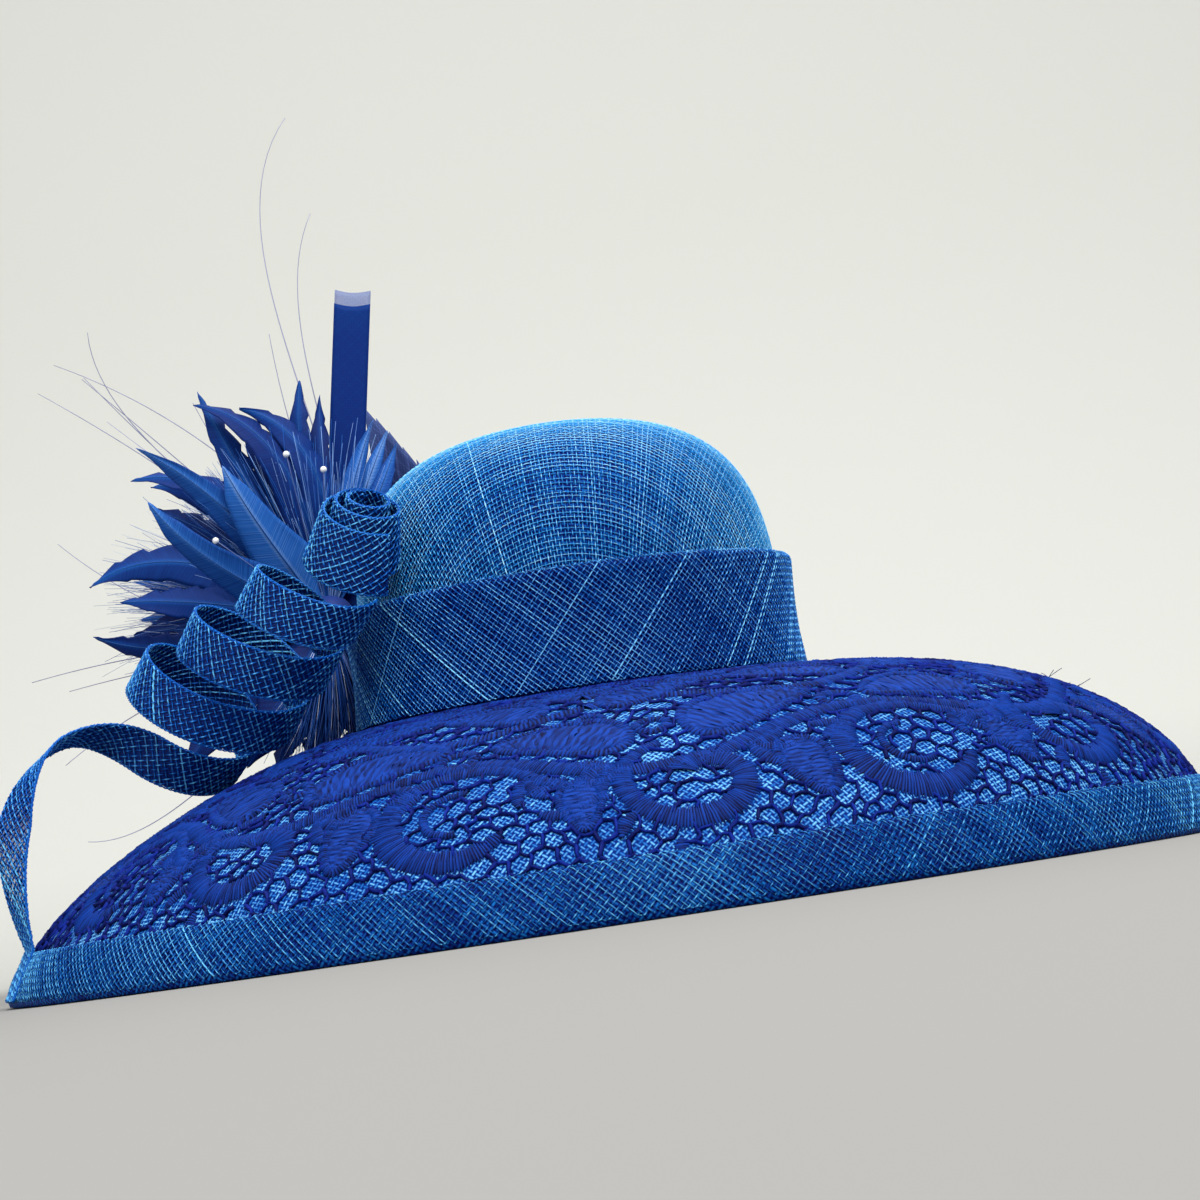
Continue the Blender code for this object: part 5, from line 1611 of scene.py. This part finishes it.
CAMERA_PLACE = (0.0, -1.30, 0.015)
CAMERA_ROLL = math.radians(8.5)
CAMERA_AIM = (0.01019, 1.0, 0.0897)
CAMERA_ANGLE = 2 * math.atan(600 / 3120)


class HAT_OT_stage(bpy.types.Operator):
    """Pale floor that sweeps up behind the hat, soft studio light, and the photograph's camera"""

    bl_idname = "hat.stage"
    bl_label = "Stage"

    def execute(self, context):
        scene = context.scene
        profile = [(-4.0, 0.0), (1.6, 0.0)]
        turn = np.linspace(0, math.pi / 2, 12)[1:]
        profile += [(1.6 + 0.8 * math.sin(a), 0.8 - 0.8 * math.cos(a)) for a in turn] + [(2.4, 4.0)]
        y, z = np.array(profile).T
        x = np.linspace(-5, 5, 3)[:, None]
        sweep = Shape()
        sweep.grid(np.stack([x + 0 * y, y + 0 * x, z + 0 * x], axis=2))
        floor = bpy.data.objects.new("floor", sweep.mesh("floor"))
        scene.collection.objects.link(floor)
        s = Shader("floor")
        # Painted shade: the floor is darkest near the hat, where the key light falls strongest, and lightens
        # up the sweep behind it.
        depth = s.value("ShaderNodeSeparateXYZ", None, {0: s.place()}, output=1) * 0.5
        s.set(Base_Color=s.ramp(depth, ((0.30, colour(142, 141, 139)), (1.0, colour(225, 225, 218)))))
        s.set(Roughness=1.0, Specular_IOR_Level=0.0)
        floor.data.materials.append(s.material)
        world = bpy.data.worlds.new("studio")
        scene.world = world
        world.use_nodes = True
        world.node_tree.nodes["Background"].inputs[0].default_value = (0.93, 0.96, 1.0, 1.0)
        world.node_tree.nodes["Background"].inputs[1].default_value = 0.56
        for name, place, size, power, shade in (
            ("key", (0.65, -1.4, 1.9), 1.3, 64.0, (1.0, 0.98, 0.95)),
            ("fill", (-1.6, -1.2, 0.9), 1.4, 12.0, (0.92, 0.96, 1.0)),
            ("top", (0.1, 0.5, 2.2), 1.6, 22.0, (1.0, 1.0, 1.0)),
        ):
            light = bpy.data.lights.new(name, "AREA")
            light.size, light.energy, light.color = size, power, shade
            lamp = bpy.data.objects.new(name, light)
            scene.collection.objects.link(lamp)
            lamp.location = place
            lamp.rotation_euler = (Vector((0, 0, 0.1)) - Vector(place)).to_track_quat("-Z", "Y").to_euler()
        lens = bpy.data.cameras.new("camera")
        lens.sensor_fit = "HORIZONTAL"
        lens.angle = CAMERA_ANGLE
        lens.clip_start = 0.01
        camera = bpy.data.objects.new("camera", lens)
        scene.collection.objects.link(camera)
        forward = Vector(CAMERA_AIM).normalized()
        right = forward.cross(Vector((0, 0, 1))).normalized()
        up = right.cross(forward)
        rolled_up = up * math.cos(CAMERA_ROLL) + right * math.sin(CAMERA_ROLL)
        rolled_right = right * math.cos(CAMERA_ROLL) - up * math.sin(CAMERA_ROLL)
        turn = Matrix((rolled_right, rolled_up, -forward)).transposed().to_4x4()
        camera.matrix_world = Matrix.Translation(CAMERA_PLACE) @ turn
        scene.camera = camera
        scene.view_settings.view_transform = "Standard"
        return {"FINISHED"}


OPERATORS = (
    HAT_OT_stage, HAT_OT_crown, HAT_OT_brim, HAT_OT_lace, HAT_OT_band, HAT_OT_binding,
    HAT_OT_rose, HAT_OT_curl, HAT_OT_flower, HAT_OT_quills, HAT_OT_pearls, HAT_OT_sheer,
)


class HAT_PT_panel(bpy.types.Panel):
    """Lists the hat's pieces and the sizes of its finer work"""

    bl_label = "Hat"
    bl_idname = "HAT_PT_panel"
    bl_space_type = "VIEW_3D"
    bl_region_type = "UI"
    bl_category = "Hat"

    def draw(self, context):
        for group in (context.scene.hat_sizes, context.scene.hat_colours):
            for name in group.bl_rna.properties.keys():
                if name not in ("rna_type", "name"):
                    self.layout.prop(group, name)
        for operator in OPERATORS:
            self.layout.operator(operator.bl_idname)


CLASSES = (HatSizes, HatColours, *OPERATORS, HAT_PT_panel)


def register():
    """Registers the classes and the scene's properties."""
    for made in CLASSES:
        bpy.utils.register_class(made)
    bpy.types.Scene.hat_sizes = bpy.props.PointerProperty(type=HatSizes)
    bpy.types.Scene.hat_colours = bpy.props.PointerProperty(type=HatColours)


def unregister():
    """Takes them away again."""
    del bpy.types.Scene.hat_colours
    del bpy.types.Scene.hat_sizes
    for made in reversed(CLASSES):
        bpy.utils.unregister_class(made)


def main():
    register()
    for operator in OPERATORS:
        group, name = operator.bl_idname.split(".")
        getattr(getattr(bpy.ops, group), name)()


if __name__ == "__main__":
    main()
